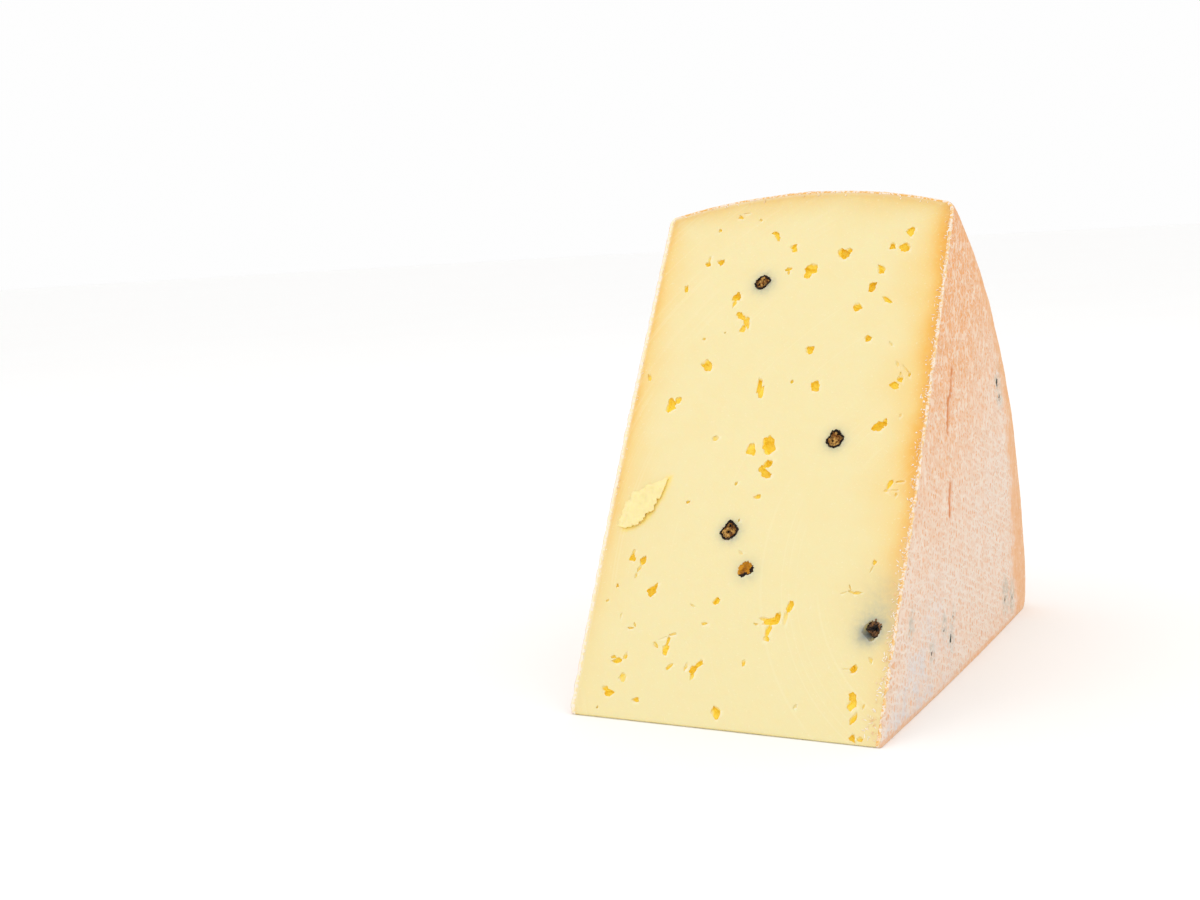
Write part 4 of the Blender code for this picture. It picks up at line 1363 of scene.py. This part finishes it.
        for spot in self.spots:
            away = np.hypot(first - spot.first, (second - spot.second) * 0.72) * (1 + 0.3 * wobble)
            up_stretch = np.where(second > spot.second, 0.6, 0.95)
            halo = np.hypot(first - spot.first, (second - spot.second) * up_stretch) * (1 + 0.25 * wobble)
            size = spot.core / 2
            raise_to("core", smooth(away, size * 1.1, size * 0.35))
            ring = np.exp(-((away - size * 1.45) / (0.32 * size + 0.12)) ** 2)
            # a pale ring on the raised rim round each spot, a painted glint
            raise_to("painted_glint_and_pale_fleck", 0.65 * ring)
            raise_to("halo", 0.85 * smooth(halo, spot.halo, 0.3 * spot.halo))
            dent = -0.42 * MM * np.exp(-(away / (0.95 * size)) ** 2) + 0.13 * MM * ring
            found["dent"] += dent * min(1.0, spot.core / 1.2)
        for line in self.creases:
            for start, stop in zip(line, line[1:]):
                close = np.exp(-(from_line(first, second, start, stop) / 0.85) ** 2)
                raise_to("crease", 0.95 * close)
                found["dent"] -= 0.16 * MM * close
        raise_to("dent", np.full(len(skin), -0.5 * MM))
        return found

    def cover(self, found: dict[str, Array], skin: Array) -> None:
        """Add the bare orange band along the shoulder and the warmer top to the marks.

        Args:
            found: the marks, changed in place.
            skin: pattern coordinates in metres.
        """
        first, second = skin[:, 0] / MM, skin[:, 1] / MM

        def wander(size: float, seed: float) -> Array:
            """A ripple over the pattern coordinates."""
            return ripple(skin[:, 0], skin[:, 1], size, seed)

        if self.side:
            run = np.hypot(first, second)
            turn = np.arctan2(second, first)
            edge = self.wheel.radius / MM
            wide = np.interp(np.degrees(turn), (0, 9, 28, 45, 59), (17, 19, 9, 5, 3))
            wide = wide * (1 + 0.16 * wander(17 * MM, 0.9))
            frayed = 2.2 * wander(6 * MM, 1.1) + 1.6 * wander(2.1 * MM, 5.0)
            found["bare"] = 0.84 * smooth(run + frayed, edge - wide - 3.5, edge - wide + 4.5)
            found["bare"] = np.maximum(found["bare"], 0.75 * smooth(second + 0.25 * frayed, 1.8, 0.5))
            found["warm"] = smooth(np.degrees(turn), 20, 56) * smooth(run, 20, 125)
            found["dust"] = smooth(run, 75, 20) * smooth(np.degrees(turn), 48, 25)
        else:
            found["warm"] = np.full(len(skin), 0.85)
            found["dust"] = 0.3 * smooth(wander(47 * MM, 4.2), 0.1, 0.8)
            found["bare"] = 0.25 + 0.3 * smooth(wander(31 * MM, 2.2), -0.2, 0.8)

    def edge_rows(self, last: bool, count: int) -> tuple[list[Array], list[float], list[Array]]:
        """Rows of the crumbly face that the knife left on the rind, between its two skins.

        Args:
            last: whether this is the leaning cut's edge, or the resting cut's.
            count: number of rows.

        Returns:
            The rows, each row's share of the way in, and its pattern coordinates.
        """
        wheel = self.wheel
        rows, shares, skins = [], [], []
        for number in range(1, count + 1):
            share = number / (count + 1)
            across, distance, run = self.profile(share * self.thickness, 0.6 * MM)
            turn = np.full(len(across), wheel.angle if last else 0.0)
            across, distance = self.worn(across, distance, turn, run, share)
            spots = wheel.settle(across, distance, turn)
            if last:
                rough = ripple(run, np.full_like(run, share), 2.3 * MM, 3.0 * number)
                spots = spots + np.outer(self.proud * (1 + 0.5 * rough), wheel.out_of_cut)
            rows.append(spots)
            shares.append(share)
            skins.append(self.pattern(distance, turn, run))
        return rows, shares, skins

    def pattern(self, distance: Array, turn: Array, run: Array) -> Array:
        """Pattern coordinates of points of the shell, in metres laid flat."""
        if self.side:
            return np.stack([run * np.cos(turn), run * np.sin(turn), np.full(len(run), 0.01 * self.side)], -1)
        return np.stack([distance * turn, run, np.full(len(run), 0.05)], -1)

    def build(self, tool: NodeTool, finish: Material) -> Thing:
        """Build and dress the shell.

        Args:
            tool: the relief's node tree.
            finish: the rind's material.

        Returns:
            The finished piece.
        """
        outer, skins = self.layer(0.0, self.pitch)
        inner, _ = self.layer(self.thickness, self.inner_pitch)
        skin = np.concatenate(skins)
        marks = self.marks(skin)
        self.cover(marks, skin)
        outer_points = self.dented(np.concatenate(outer), marks.pop("dent"))
        parts = [outer_points] + inner
        numbered, total = [], 0
        for row in outer + inner:
            numbered.append(list(range(total, total + len(row))))
            total += len(row)
        outside, inside = numbered[:len(outer)], numbered[len(outer):]
        faces: list[tuple[int, int, int]] = []
        for rows in (outside, inside):
            for first, second in zip(rows, rows[1:]):
                faces += zip_rows(first, second)
        for end in (0, -1):
            faces += zip_rows(outside[end], inside[end])
        depth = [0.0] * len(skin) + [1.0] * (total - len(skin))
        skins = [skin, np.zeros((total - len(skin), 3))]
        for last in (True, False):
            column = -1 if last else 0
            chains = [[row[column] for row in outside]]
            for row, share, laid in zip(*self.edge_rows(last, 3 if last else 1)):
                parts.append(row)
                skins.append(laid)
                chains.append(list(range(total, total + len(row))))
                total += len(row)
                depth += [share] * len(row)
            chains.append([row[column] for row in inside])
            for first, second in zip(chains, chains[1:]):
                faces += zip_rows(first, second)
            for end in (0, -1):
                path = [chain[end] for chain in chains]
                faces += [(path[0], path[step], path[step + 1]) for step in range(1, len(path) - 1)]
        mesh = build_mesh(self.hand.value, np.concatenate(parts), faces)
        piece = add_object(f"rind_{self.hand.value}", mesh)
        spare = np.zeros(total - len(skin))
        for name, values in marks.items():
            store(piece.data, name, np.concatenate([values, spare]))
        store(piece.data, "relief", np.concatenate([self.relief(skin), spare]))
        store(piece.data, "skin", np.concatenate(skins))
        store(piece.data, "cut_depth", np.array(depth))
        net = self.net
        tool.apply(piece, Cell_across=net.cell_across, Cell_along=net.cell_along, Turn=net.turn,
                   Net_height=net.height, Wobble=net.wobble, Randomness=net.randomness,
                   Lump_height=0.9 * MM, Lump_size=14 * MM, Seed=float(self.side), Finish=finish)
        shade(piece.data, 55)
        return piece

    def dented(self, points: Array, dent: Array) -> Array:
        """Press the marks into the outer skin, by how far each point moves outwards."""
        if self.side:
            return points + np.outer(dent, (self.side, 0, 0))
        out = points - np.array((0, self.wheel.tip_y, 0))
        out[:, 0] = 0
        return points + out / np.linalg.norm(out, axis=1)[:, None] * dent[:, None]

    def relief(self, skin: Array) -> Array:
        """How much of the relief each point of the outer skin takes: none where two shells meet.

        Args:
            skin: pattern coordinates in metres.

        Returns:
            Shares between 0 and 1.
        """
        wheel = self.wheel
        run = self.profile(0.0, self.pitch)[2]
        if self.side:
            along = np.hypot(skin[:, 0], skin[:, 1])
            turn = np.arctan2(skin[:, 1], skin[:, 0])
            from_seam = run[-1] - along
            distance = np.minimum(along, wheel.radius)
        else:
            along = skin[:, 1]
            from_seam = np.minimum(along - run[0], run[-1] - along)
            distance = wheel.rim_reach(along)
            turn = skin[:, 0] / distance
        from_rest, from_top = distance * turn, distance * (wheel.angle - turn)
        share = smooth(from_seam, 0, 3 * MM)
        share = share * (0.1 + 0.9 * smooth(from_rest, 0, 2 * MM))
        return share * (0.35 + 0.65 * smooth(from_top, 0, 1.2 * MM))


@dataclass
class Peppercorn:
    """A peppercorn that the knife met: a wrinkled skin ring round a mealy kernel or an empty husk."""

    name: str
    across: float
    up: float
    size: float
    filling: Filling
    seed: int
    outline: tuple[tuple[float, float], ...] = ()
    hollows: tuple[tuple[float, float, float], ...] = ()
    on_rest: bool = False
    segments: int = 72
    black_corners: tuple[tuple[float, float], ...] = ((-135, -75), (-30, 36))

    def matrix(self, wheel: Wheel) -> Matrix:
        """Frame of the peppercorn on its cut."""
        if self.on_rest:
            return wheel.rest_matrix(self.across * MM, self.up * MM, 0.45 * MM)
        return wheel.cut_matrix(self.across * MM, self.up * MM)

    def ring(self, share: float, high: float) -> list[Vector]:
        """One level ring inside the outline, at a height in millimetres."""
        turns = [math.tau * step / self.segments for step in range(self.segments)]
        return [Vector((self.reach(turn) * share * math.cos(turn), self.reach(turn) * share * math.sin(turn),
                        high * MM)) for turn in turns]

    def seat(self, wheel: Wheel) -> Thing:
        """Body that cuts the hole the peppercorn sits in, just inside its outline."""
        levels = ((0.93, 1.0), (0.93, 0.0), (0.9, -1.2), (0.5, -2.0))
        if self.filling is Filling.WHOLE:
            levels = ((1.5, 1.0), (1.1, 0.0), (0.85, -0.7), (0.5, -1.2))
        rings = [self.ring(share, high) for share, high in levels]
        mesh = closed_rings(f"{self.name}_seat", rings, Vector((0, 0, MM)), Vector((0, 0, -2.1 * MM)))
        matrix = wheel.rest_matrix(self.across * MM, self.up * MM) if self.on_rest else self.matrix(wheel)
        if self.filling is Filling.WHOLE:
            matrix = matrix @ Matrix.Translation((-0.75 * MM, -0.85 * MM, 0))
        mesh.transform(matrix)
        return bpy.data.objects.new(mesh.name, mesh)

    def reach(self, turn: float) -> float:
        """Radius of the outline in a direction, in metres."""
        away = Vector((math.cos(turn) * 1.4, math.sin(turn) * 1.4, self.seed * 2.3))
        rough = 0.08 * noise.noise(away * 3.1) + 0.06 * noise.noise(away * 7.3)
        if not self.outline:
            return (1 + 0.22 * noise.noise(away) + rough) * self.size / 2 * MM
        turns = [point[0] % 360 for point in self.outline]
        reaches = [point[1] for point in self.outline]
        return float(np.interp(math.degrees(turn) % 360, turns, reaches, period=360)) * (1 + rough) * MM

    def height(self, share: float, turn: float) -> float:
        """Height of the cut face above the paste, in metres.

        Args:
            share: place between the middle, 0, and the outline, 1.
            turn: direction.

        Returns:
            The height there.
        """
        spot = Vector((share * math.cos(turn) * 2.2, share * math.sin(turn) * 2.2, self.seed * 1.3))
        rough = 0.12 * noise.noise(spot * 2.4) + 0.08 * noise.noise(spot * 6)
        if self.filling is Filling.WHOLE:
            fold = abs(noise.noise(spot * 1.3)) + 0.5 * abs(noise.noise(spot * 3.1))
            return (0.35 - 1.1 * math.exp(-(fold / 0.12) ** 2) + 2.5 * rough - 0.6 * share ** 4) * MM
        if self.filling is Filling.HUSK:
            bowl = -1.0 * (1 - min(share / 0.95, 1) ** 2.0)
            rim = 0.15 * math.exp(-((share - 0.95) / 0.07) ** 2)
            return (bowl + rim + rough * 2.4 - 0.04) * MM
        fold = abs(noise.noise(spot * 0.9 + Vector((3.7, 1.1, 0))))
        kernel = 0.14 + 2.0 * rough - 0.45 * math.exp(-(fold / 0.06) ** 2)
        groove = -0.25 * math.exp(-((share - 0.8) / 0.035) ** 2)
        ring = 0.24 * math.exp(-((share - 0.92) / 0.08) ** 2) * (1 + 5 * rough)
        level = kernel + groove + ring
        for first, second, width in self.hollows:
            place = Vector((share * math.cos(turn) - first, share * math.sin(turn) - second))
            level -= 0.9 * math.exp(-(place.length / width) ** 2)
        return level * MM

    def cut_half(self) -> Mesh:
        """Build the sliced, emptied or crumpled peppercorn as one closed body."""
        tops = (0.08, 0.16, 0.24, 0.32, 0.4, 0.48, 0.55, 0.62, 0.68, 0.72, 0.76, 0.8, 0.85, 0.9, 0.95, 1.0)
        unders = ((1.02, -0.35), (0.9, -1.0), (0.62, -1.45), (0.3, -1.6))
        rings = [self.ring(share, 0) for share in tops]
        for ring, share in zip(rings, tops):
            for point in ring:
                point.z = self.height(share, math.atan2(point.y, point.x))
        deep = 1.25 if self.filling is Filling.HUSK else 0.9
        rings += [self.ring(share, high * deep) for share, high in unders]
        top, bottom = Vector((0, 0, self.height(0, 0))), Vector((0, 0, -1.8 * deep * MM))
        mesh = closed_rings(self.name, rings, top, bottom)
        for face in mesh.polygons:
            face.material_index = self.coat(face.center)
        return mesh

    def coat(self, spot: Vector) -> Coat:
        """Which finish a face has.

        Args:
            spot: the face's middle.

        Returns:
            The finish: of a husk, the skin stayed black on one side and widest in two corners.
        """
        if self.filling is Filling.WHOLE:
            return Coat.CRUMPLED
        share = math.hypot(spot.x, spot.y) / self.reach(math.atan2(spot.y, spot.x))
        turn = math.degrees(math.atan2(spot.y, spot.x))
        if self.filling is Filling.SLICED:
            edge = 0.76 + 0.1 * noise.noise(Vector((turn / 25, self.seed, 0)))
            return Coat.SKIN if share > edge or spot.z < -0.28 * MM else Coat.KERNEL
        wide = any(low < turn < high for low, high in self.black_corners)
        edge = (0.28 if wide else 0.8) + 0.2 * noise.noise(Vector((turn / 22, self.seed, 0)))
        black = share > edge and self.black_corners[0][0] < turn < self.black_corners[-1][1]
        return Coat.SKIN if black else Coat.HUSK

    def build(self, wheel: Wheel, finishes: Sequence[Material]) -> Thing:
        """Build and dress the peppercorn.

        Args:
            wheel: the wheel, whose cut it sits on.
            finishes: skin, kernel, husk and crumpled skin materials.

        Returns:
            The finished piece.
        """
        mesh = self.cut_half()
        mesh.transform(self.matrix(wheel))
        for finish in finishes:
            mesh.materials.append(finish)
        shade(mesh)
        return add_object(self.name, mesh)


@dataclass
class Shaving:
    """A torn shaving of paste stuck to the leaning cut, its lower right edge lifted."""

    wheel: Wheel
    left: tuple[tuple[float, float], ...] = (
        (-37.5, 50.0), (-36.2, 52.6), (-36.0, 56.5), (-34.2, 59.1), (-30.2, 61.2), (-26.3, 63.1))
    right: tuple[tuple[float, float], ...] = (
        (-34.8, 49.3), (-32.3, 50.4), (-30.0, 51.8), (-28.1, 54.9), (-26.6, 58.4), (-25.2, 63.4))
    lift: float = 0.6 * MM
    thickness: float = 0.5 * MM
    rows: int = 44
    columns: int = 14

    def surface(self, top: bool) -> Array:
        """Positions of the upper or lower skin, row by row."""
        found = []
        for row in range(self.rows):
            place = row / (self.rows - 1)
            at = place * (len(self.left) - 1)
            low = min(int(at), len(self.left) - 2)
            share = at - low
            start = Vector(self.left[low]).lerp(Vector(self.left[low + 1]), share)
            stop = Vector(self.right[low]).lerp(Vector(self.right[low + 1]), share)
            ragged = 1.3 * noise.noise(Vector((row * 0.21, 3.3, 0.5)))
            ragged += noise.noise(Vector((row * 0.55, 1.1, 4)))
            for column in range(self.columns):
                part = column / (self.columns - 1)
                spot = start.lerp(stop, part * (1 + 0.16 * ragged) - 0.12 * (1 - part) * ragged)
                free = math.sin(math.pi * min(max(place * 0.9 + 0.08, 0), 1)) ** 0.6
                rough = 0.7 * MM * noise.noise(Vector((spot.x * 0.5, spot.y * 0.5, 2.0)))
                rough += 0.22 * MM * noise.noise(Vector((spot.x * 1.5, spot.y * 1.5, 5.0)))
                rise = self.lift * free * (0.25 + 0.9 * part - 0.3 * part ** 3)
                under = rise - 0.35 * MM * (1 - part)
                thick = self.thickness * (1.0 - 0.4 * part) * min(1, 5 * part + 0.45)
                high = max(rise, 0) + thick + rough if top else under
                matrix = self.wheel.cut_matrix(spot.x * MM, spot.y * MM, -high)
                found.append(tuple(matrix.translation))
        return np.array(found)

    def build(self, finish: Material) -> Thing:
        """Build and dress the shaving.

        Args:
            finish: its material.

        Returns:
            The finished piece.
        """
        count = self.rows * self.columns
        faces: list[Sequence[int]] = []
        for row in range(self.rows - 1):
            for column in range(self.columns - 1):
                at = row * self.columns + column
                quad = (at, at + 1, at + self.columns + 1, at + self.columns)
                faces += [quad, tuple(index + count for index in quad[::-1])]
        ring = list(range(self.columns))
        ring += [row * self.columns + self.columns - 1 for row in range(1, self.rows)]
        ring += [(self.rows - 1) * self.columns + column for column in range(self.columns - 2, -1, -1)]
        ring += [row * self.columns for row in range(self.rows - 2, 0, -1)]
        for here, there in zip(ring, ring[1:] + ring[:1]):
            faces.append((here, there, there + count, here + count))
        mesh = build_mesh("shaving", np.concatenate([self.surface(True), self.surface(False)]), faces)
        for name in ("near_rind", "near_tip", "stain", "bruise", "painted_glint_and_pale_fleck", "shade"):
            store(mesh, name, np.zeros(len(mesh.vertices)))
        # the underside gets a little of the openings' deeper yellow and glow, a painted shade under the
        # lifted shaving
        store(mesh, "depth", np.concatenate([np.zeros(count), np.full(count, 0.15)]))
        mesh.materials.append(finish)
        shade(mesh, 50)
        return add_object("shaving", mesh)


@dataclass
class EdgeCrumbs:
    """Crumbs and shreds that the knife dragged along the rind's cut edges."""

    wheel: Wheel
    size: float = 0.4 * MM
    density: float = 3.6e6
    shred_share: float = 0.62
    seed: int = 4

    def ribbons(self) -> tuple[Array, list[Sequence[int]], Array]:
        """Strips of the leaning cut that carry crumbs.

        Returns:
            Positions, faces and the share of crumbs at each position.
        """
        up = np.linspace(1.5, 136.5, 136)
        right_in = np.interp(up, (0, 7, 16, 26, 140), (35.4, 36.0, 37.6, 38.5, 38.6))
        thin = np.interp(up, (0, 7, 16, 30, 40, 140), (0.6, 0.7, 0.9, 1.0, 0.8, 0.75))
        patchy = 0.75 + 0.45 * ripple(up * MM, up * MM, 17 * MM, 0.3)
        across = np.linspace(-36, 36, 73)
        top = self.wheel.rim_reach(across * MM) / MM
        flake = np.linspace(0, 1, 8)
        strips = (
            ((right_in - 0.6, up), (right_in + 0.9, up), 0.45 * thin * patchy),
            ((right_in + 0.5, up), (np.full(136, 39.9), up), thin * patchy),
            ((np.full(136, -39.9), up), (np.full(136, -38.9), up), 0.13 * patchy),
            ((across, top - 2.0), (across, top - 1.1), np.full(73, 0.1)),
            ((-33.8 + 2.6 * flake, 50.3 + 1.4 * flake), (-33.2 + 2.6 * flake, 49.6 + 1.4 * flake),
             np.full(8, 0.5)),
        )
        points, faces, plenty = [], [], []
        for first, second, share in strips:
            start = len(points)
            for number in range(len(share)):
                for chain in (first, second):
                    matrix = self.wheel.cut_matrix(chain[0][number] * MM, chain[1][number] * MM, -0.08 * MM)
                    points.append(tuple(matrix.translation))
                    plenty.append(share[number])
            for number in range(len(share) - 1):
                at = start + 2 * number
                faces.append((at, at + 1, at + 3, at + 2))
        return np.array(points), faces, np.array(plenty)

    def build(self, tool: NodeTool, finish: Material) -> Thing:
        """Build and dress the crumbs.

        Args:
            tool: the crumbs' node tree.
            finish: their material.

        Returns:
            The finished piece.
        """
        points, faces, plenty = self.ribbons()
        mesh = bpy.data.meshes.new("edge_crumbs")
        mesh.from_pydata(points.tolist(), [], faces)
        store(mesh, "plenty", np.clip(plenty, 0, None))
        piece = add_object("edge_crumbs", mesh)
        tool.apply(piece, Size=self.size, Density=self.density, Shred_share=self.shred_share,
                   Seed=self.seed, Finish=finish)
        shade(piece.data)
        return piece


@dataclass(frozen=True)
class Lamp:
    """A soft rectangular studio light: where it hangs, its size, its power and its colour."""

    name: str
    place: tuple[float, float, float]
    size: float
    power: float
    colour: str = "#FFFFFF"


@dataclass
class Studio:
    """A pale floor, a bright even surround and soft lights, with the camera of the photograph."""

    floor_size: float = 8.0
    surround: float = 0.99
    lens: float = 47.0
    yaw: float = math.radians(28.65)
    pitch: float = math.radians(7.88)
    roll: float = math.radians(-3.18)
    eye: tuple[float, float, float] = (0.1503, -0.3247, 0.1178)
    lamps: tuple[Lamp, ...] = (
        Lamp("key", (-0.55, -0.75, 0.95), 0.7, 1.3, "#FFFDFA"),
        Lamp("fill", (0.95, -0.35, 0.55), 0.8, 0.3),
        Lamp("top", (0.1, 0.25, 1.1), 0.8, 0.9),
    )

    def floor(self) -> None:
        """Lay the floor just under the wedge."""
        build = bmesh.new()
        bmesh.ops.create_circle(build, cap_ends=True, segments=96, radius=self.floor_size)
        mesh = bpy.data.meshes.new("floor")
        build.to_mesh(mesh)
        build.free()
        mesh.transform(Matrix.Translation((0, 0, -0.06 * MM)))
        mesh.materials.append(FloorFinish().build())
        add_object("floor", mesh)

    def light(self) -> None:
        """Set the surround and hang the lamps, all aimed at the wedge."""
        world = bpy.data.worlds.new("studio")
        world.use_nodes = True
        backdrop = world.node_tree.nodes["Background"]
        backdrop.inputs["Color"].default_value = (1.0, 1.0, 1.0, 1.0)
        backdrop.inputs["Strength"].default_value = self.surround
        bpy.context.scene.world = world
        for lamp in self.lamps:
            data = bpy.data.lights.new(lamp.name, 'AREA')
            data.energy = lamp.power
            data.size = lamp.size
            data.color = linear(lamp.colour)[:3]
            made = bpy.data.objects.new(lamp.name, data)
            made.location = lamp.place
            aim = Vector((0, 0, 0.05)) - Vector(lamp.place)
            made.rotation_euler = aim.to_track_quat('-Z', 'Y').to_euler()
            bpy.context.scene.collection.objects.link(made)

    def camera(self, wheel: Wheel) -> None:
        """Put the camera where the photograph was taken from."""
        data = bpy.data.cameras.new("camera")
        data.lens = self.lens
        data.sensor_width = 36.0
        data.sensor_fit = 'HORIZONTAL'
        data.clip_start = 0.01
        data.clip_end = 50.0
        level = math.cos(self.pitch)
        forward = Vector((-math.sin(self.yaw) * level, math.cos(self.yaw) * level, -math.sin(self.pitch)))
        right = forward.cross(Vector((0, 0, 1))).normalized()
        up = right.cross(forward)
        turned_right = math.cos(self.roll) * right + math.sin(self.roll) * up
        turned_up = math.cos(self.roll) * up - math.sin(self.roll) * right
        turn = Matrix((turned_right, turned_up, -forward)).transposed().to_4x4()
        made = bpy.data.objects.new("camera", data)
        made.matrix_world = Matrix.Translation(Vector(self.eye) + Vector((0, wheel.tip_y, 0))) @ turn
        bpy.context.scene.collection.objects.link(made)
        bpy.context.scene.camera = made

    def build(self, wheel: Wheel) -> None:
        """Build the whole studio."""
        self.floor()
        self.light()
        self.camera(wheel)
        bpy.context.scene.view_settings.view_transform = 'Standard'


PEPPERCORNS: tuple[Peppercorn, ...] = (
    Peppercorn("peppercorn_top", -9.0, 119.5, 4.4, Filling.SLICED, 3,
               ((14, 2.35), (-21, 1.6), (-64, 1.8), (262, 2.15), (235, 2.2), (203, 2.35), (140, 1.65),
                (108, 1.9), (86, 2.2), (56, 2.05)), ((-0.45, -0.3, 0.14), (0.1, 0.45, 0.12))),
    Peppercorn("peppercorn_right", 17.8, 75.0, 4.5, Filling.SLICED, 5,
               ((18, 2.4), (-21, 2.0), (-59, 2.15), (266, 2.3), (223, 2.35), (190, 2.35), (163, 1.85),
                (142, 1.65), (116, 2.5), (76, 2.6), (40, 2.05)), ((-0.28, -0.12, 0.15), (0.25, 0.6, 0.1))),
    Peppercorn("peppercorn_middle", -6.0, 50.0, 4.6, Filling.SLICED, 8,
               ((12, 2.5), (-18, 2.3), (-50, 2.25), (259, 2.6), (221, 2.3), (197, 2.5), (170, 1.85),
                (138, 1.5), (111, 2.25), (90, 2.85), (52, 2.3)), ((0.0, 0.5, 0.13), (-0.05, -0.05, 0.15))),
    Peppercorn("peppercorn_husk", 0.3, 40.3, 4.2, Filling.HUSK, 11,
               ((3, 2.2), (-33, 1.8), (276, 1.5), (252, 2.4), (218, 2.3), (187, 2.0), (133, 1.85), (90, 2.15),
                (46, 1.9))),
    Peppercorn("peppercorn_whole", 34.8, 27.8, 4.1, Filling.WHOLE, 13,
               ((9, 2.0), (-45, 1.8), (270, 2.4), (252, 1.7), (210, 1.7), (193, 2.1), (155, 1.9), (115, 2.1),
                (90, 2.4), (42, 2.15))),
    Peppercorn("rest_peppercorn_near", 12.0, 38.0, 4.5, Filling.SLICED, 15, (), ((0.2, 0.1, 0.16),),
               on_rest=True),
    Peppercorn("rest_peppercorn_left", -21.0, 66.0, 4.8, Filling.SLICED, 17, (), ((-0.3, 0.2, 0.14),),
               on_rest=True),
    Peppercorn("rest_peppercorn_far", 7.0, 112.0, 4.6, Filling.SLICED, 19, (), ((0.1, 0.2, 0.18),),
               on_rest=True),
)
STAINS: tuple[tuple[float, ...], ...] = (
    (-8.8, 119.2, 1.9, 1.5, 0.62), (17.9, 74.8, 2.0, 1.3, 0.5), (-5.6, 49.8, 2.1, 1.4, 0.55),
    (0.5, 40.0, 1.7, 1.6, 0.4), (34.6, 27.9, 2.0, 2.3, 0.6), (35.4, 33.0, 1.2, 3.8, 0.24),
    (32.9, 26.0, 0.7, 1.6, 0.75), (36.2, 37.5, 0.8, 4.0, 0.16),
)
RIGHT_CHIPS: tuple[tuple[float, float, float], ...] = (
    (6.5, 0.7, 1.2), (12.5, 0.45, 0.9), (19.5, 0.8, 1.0), (31.0, 0.35, 1.4), (47.0, 0.3, 1.0),
    (58.0, 0.4, 0.8), (73.0, 0.3, 1.6), (92.0, 0.4, 0.9), (117.0, 0.35, 1.1),
)


def seeded_spots(wheel: Wheel) -> tuple[tuple[Spot, ...], tuple[Spot, ...]]:
    """Mould spots of the two rinds that don't show, at the dimples of the solid.

    Args:
        wheel: the wheel, for its angle.

    Returns:
        The left side's spots and the rim's.
    """
    draw = random.Random(SPOT_SEED)
    left, rim = [], []
    for _ in range(LEFT_SPOTS):
        turn = draw.uniform(0.12, 0.9) * wheel.angle
        distance = draw.uniform(25, 132)
        size = 1.0 + 1.5 * ((distance * 7) % 1)
        left.append(Spot(distance * math.cos(turn), distance * math.sin(turn), size, 2.2 * size + 1))
    for _ in range(RIM_SPOTS):
        along, turn = draw.uniform(-32, 32), draw.uniform(0.1, 0.9) * wheel.angle
        reach = float(wheel.rim_reach(np.array(along * MM))) / MM
        size = 1.0 + 1.5 * ((turn * 7) % 1)
        rim.append(Spot(reach * turn, -along, size, 2.2 * size + 1))
    return tuple(left), tuple(rim)


def main() -> None:
    """Build the wedge piece by piece, then the studio."""
    logging.basicConfig(level=logging.INFO, format="%(name)s: %(message)s")
    wheel = Wheel()
    paste = Paste(wheel).build([peppercorn.seat(wheel) for peppercorn in PEPPERCORNS], STAINS)
    hand_over(paste)

    net = RindNet()
    relief = relief_tool()
    rind_finish = RindFinish().build(net, "washed_rind")
    thin_finish = RindFinish(cut_face="#FCEFC9", under="#F9DDA2").build(net, "washed_rind_with_pale_cut")
    left_spots, rim_spots = seeded_spots(wheel)
    shells = (
        Rind(wheel, Hand.RIGHT, net=net, spots=RIGHT_SPOTS, creases=RIGHT_CREASES, chips=RIGHT_CHIPS),
        Rind(wheel, Hand.RIM, net=net, spots=rim_spots),
        Rind(wheel, Hand.LEFT, net=net, spots=left_spots),
    )
    for shell in shells:
        hand_over(shell.build(relief, thin_finish if shell.hand is Hand.LEFT else rind_finish))

    coats = {Coat.SKIN: PEPPER_SKIN, Coat.KERNEL: KERNEL, Coat.HUSK: HUSK, Coat.CRUMPLED: CRUMPLED_SKIN}
    finishes = [coats[coat].build() for coat in Coat]
    for peppercorn in PEPPERCORNS:
        hand_over(peppercorn.build(wheel, finishes))
    torn = PasteFinish("torn_cheese_shaving", heart="#FBE7A4", mid="#FBE7A4", tip="#FBE7A4")
    hand_over(Shaving(wheel).build(torn.build()))
    hand_over(EdgeCrumbs(wheel).build(crumb_tool(), CRUMB.build()))

    Studio().build(wheel)


if __name__ == "__main__":
    main()
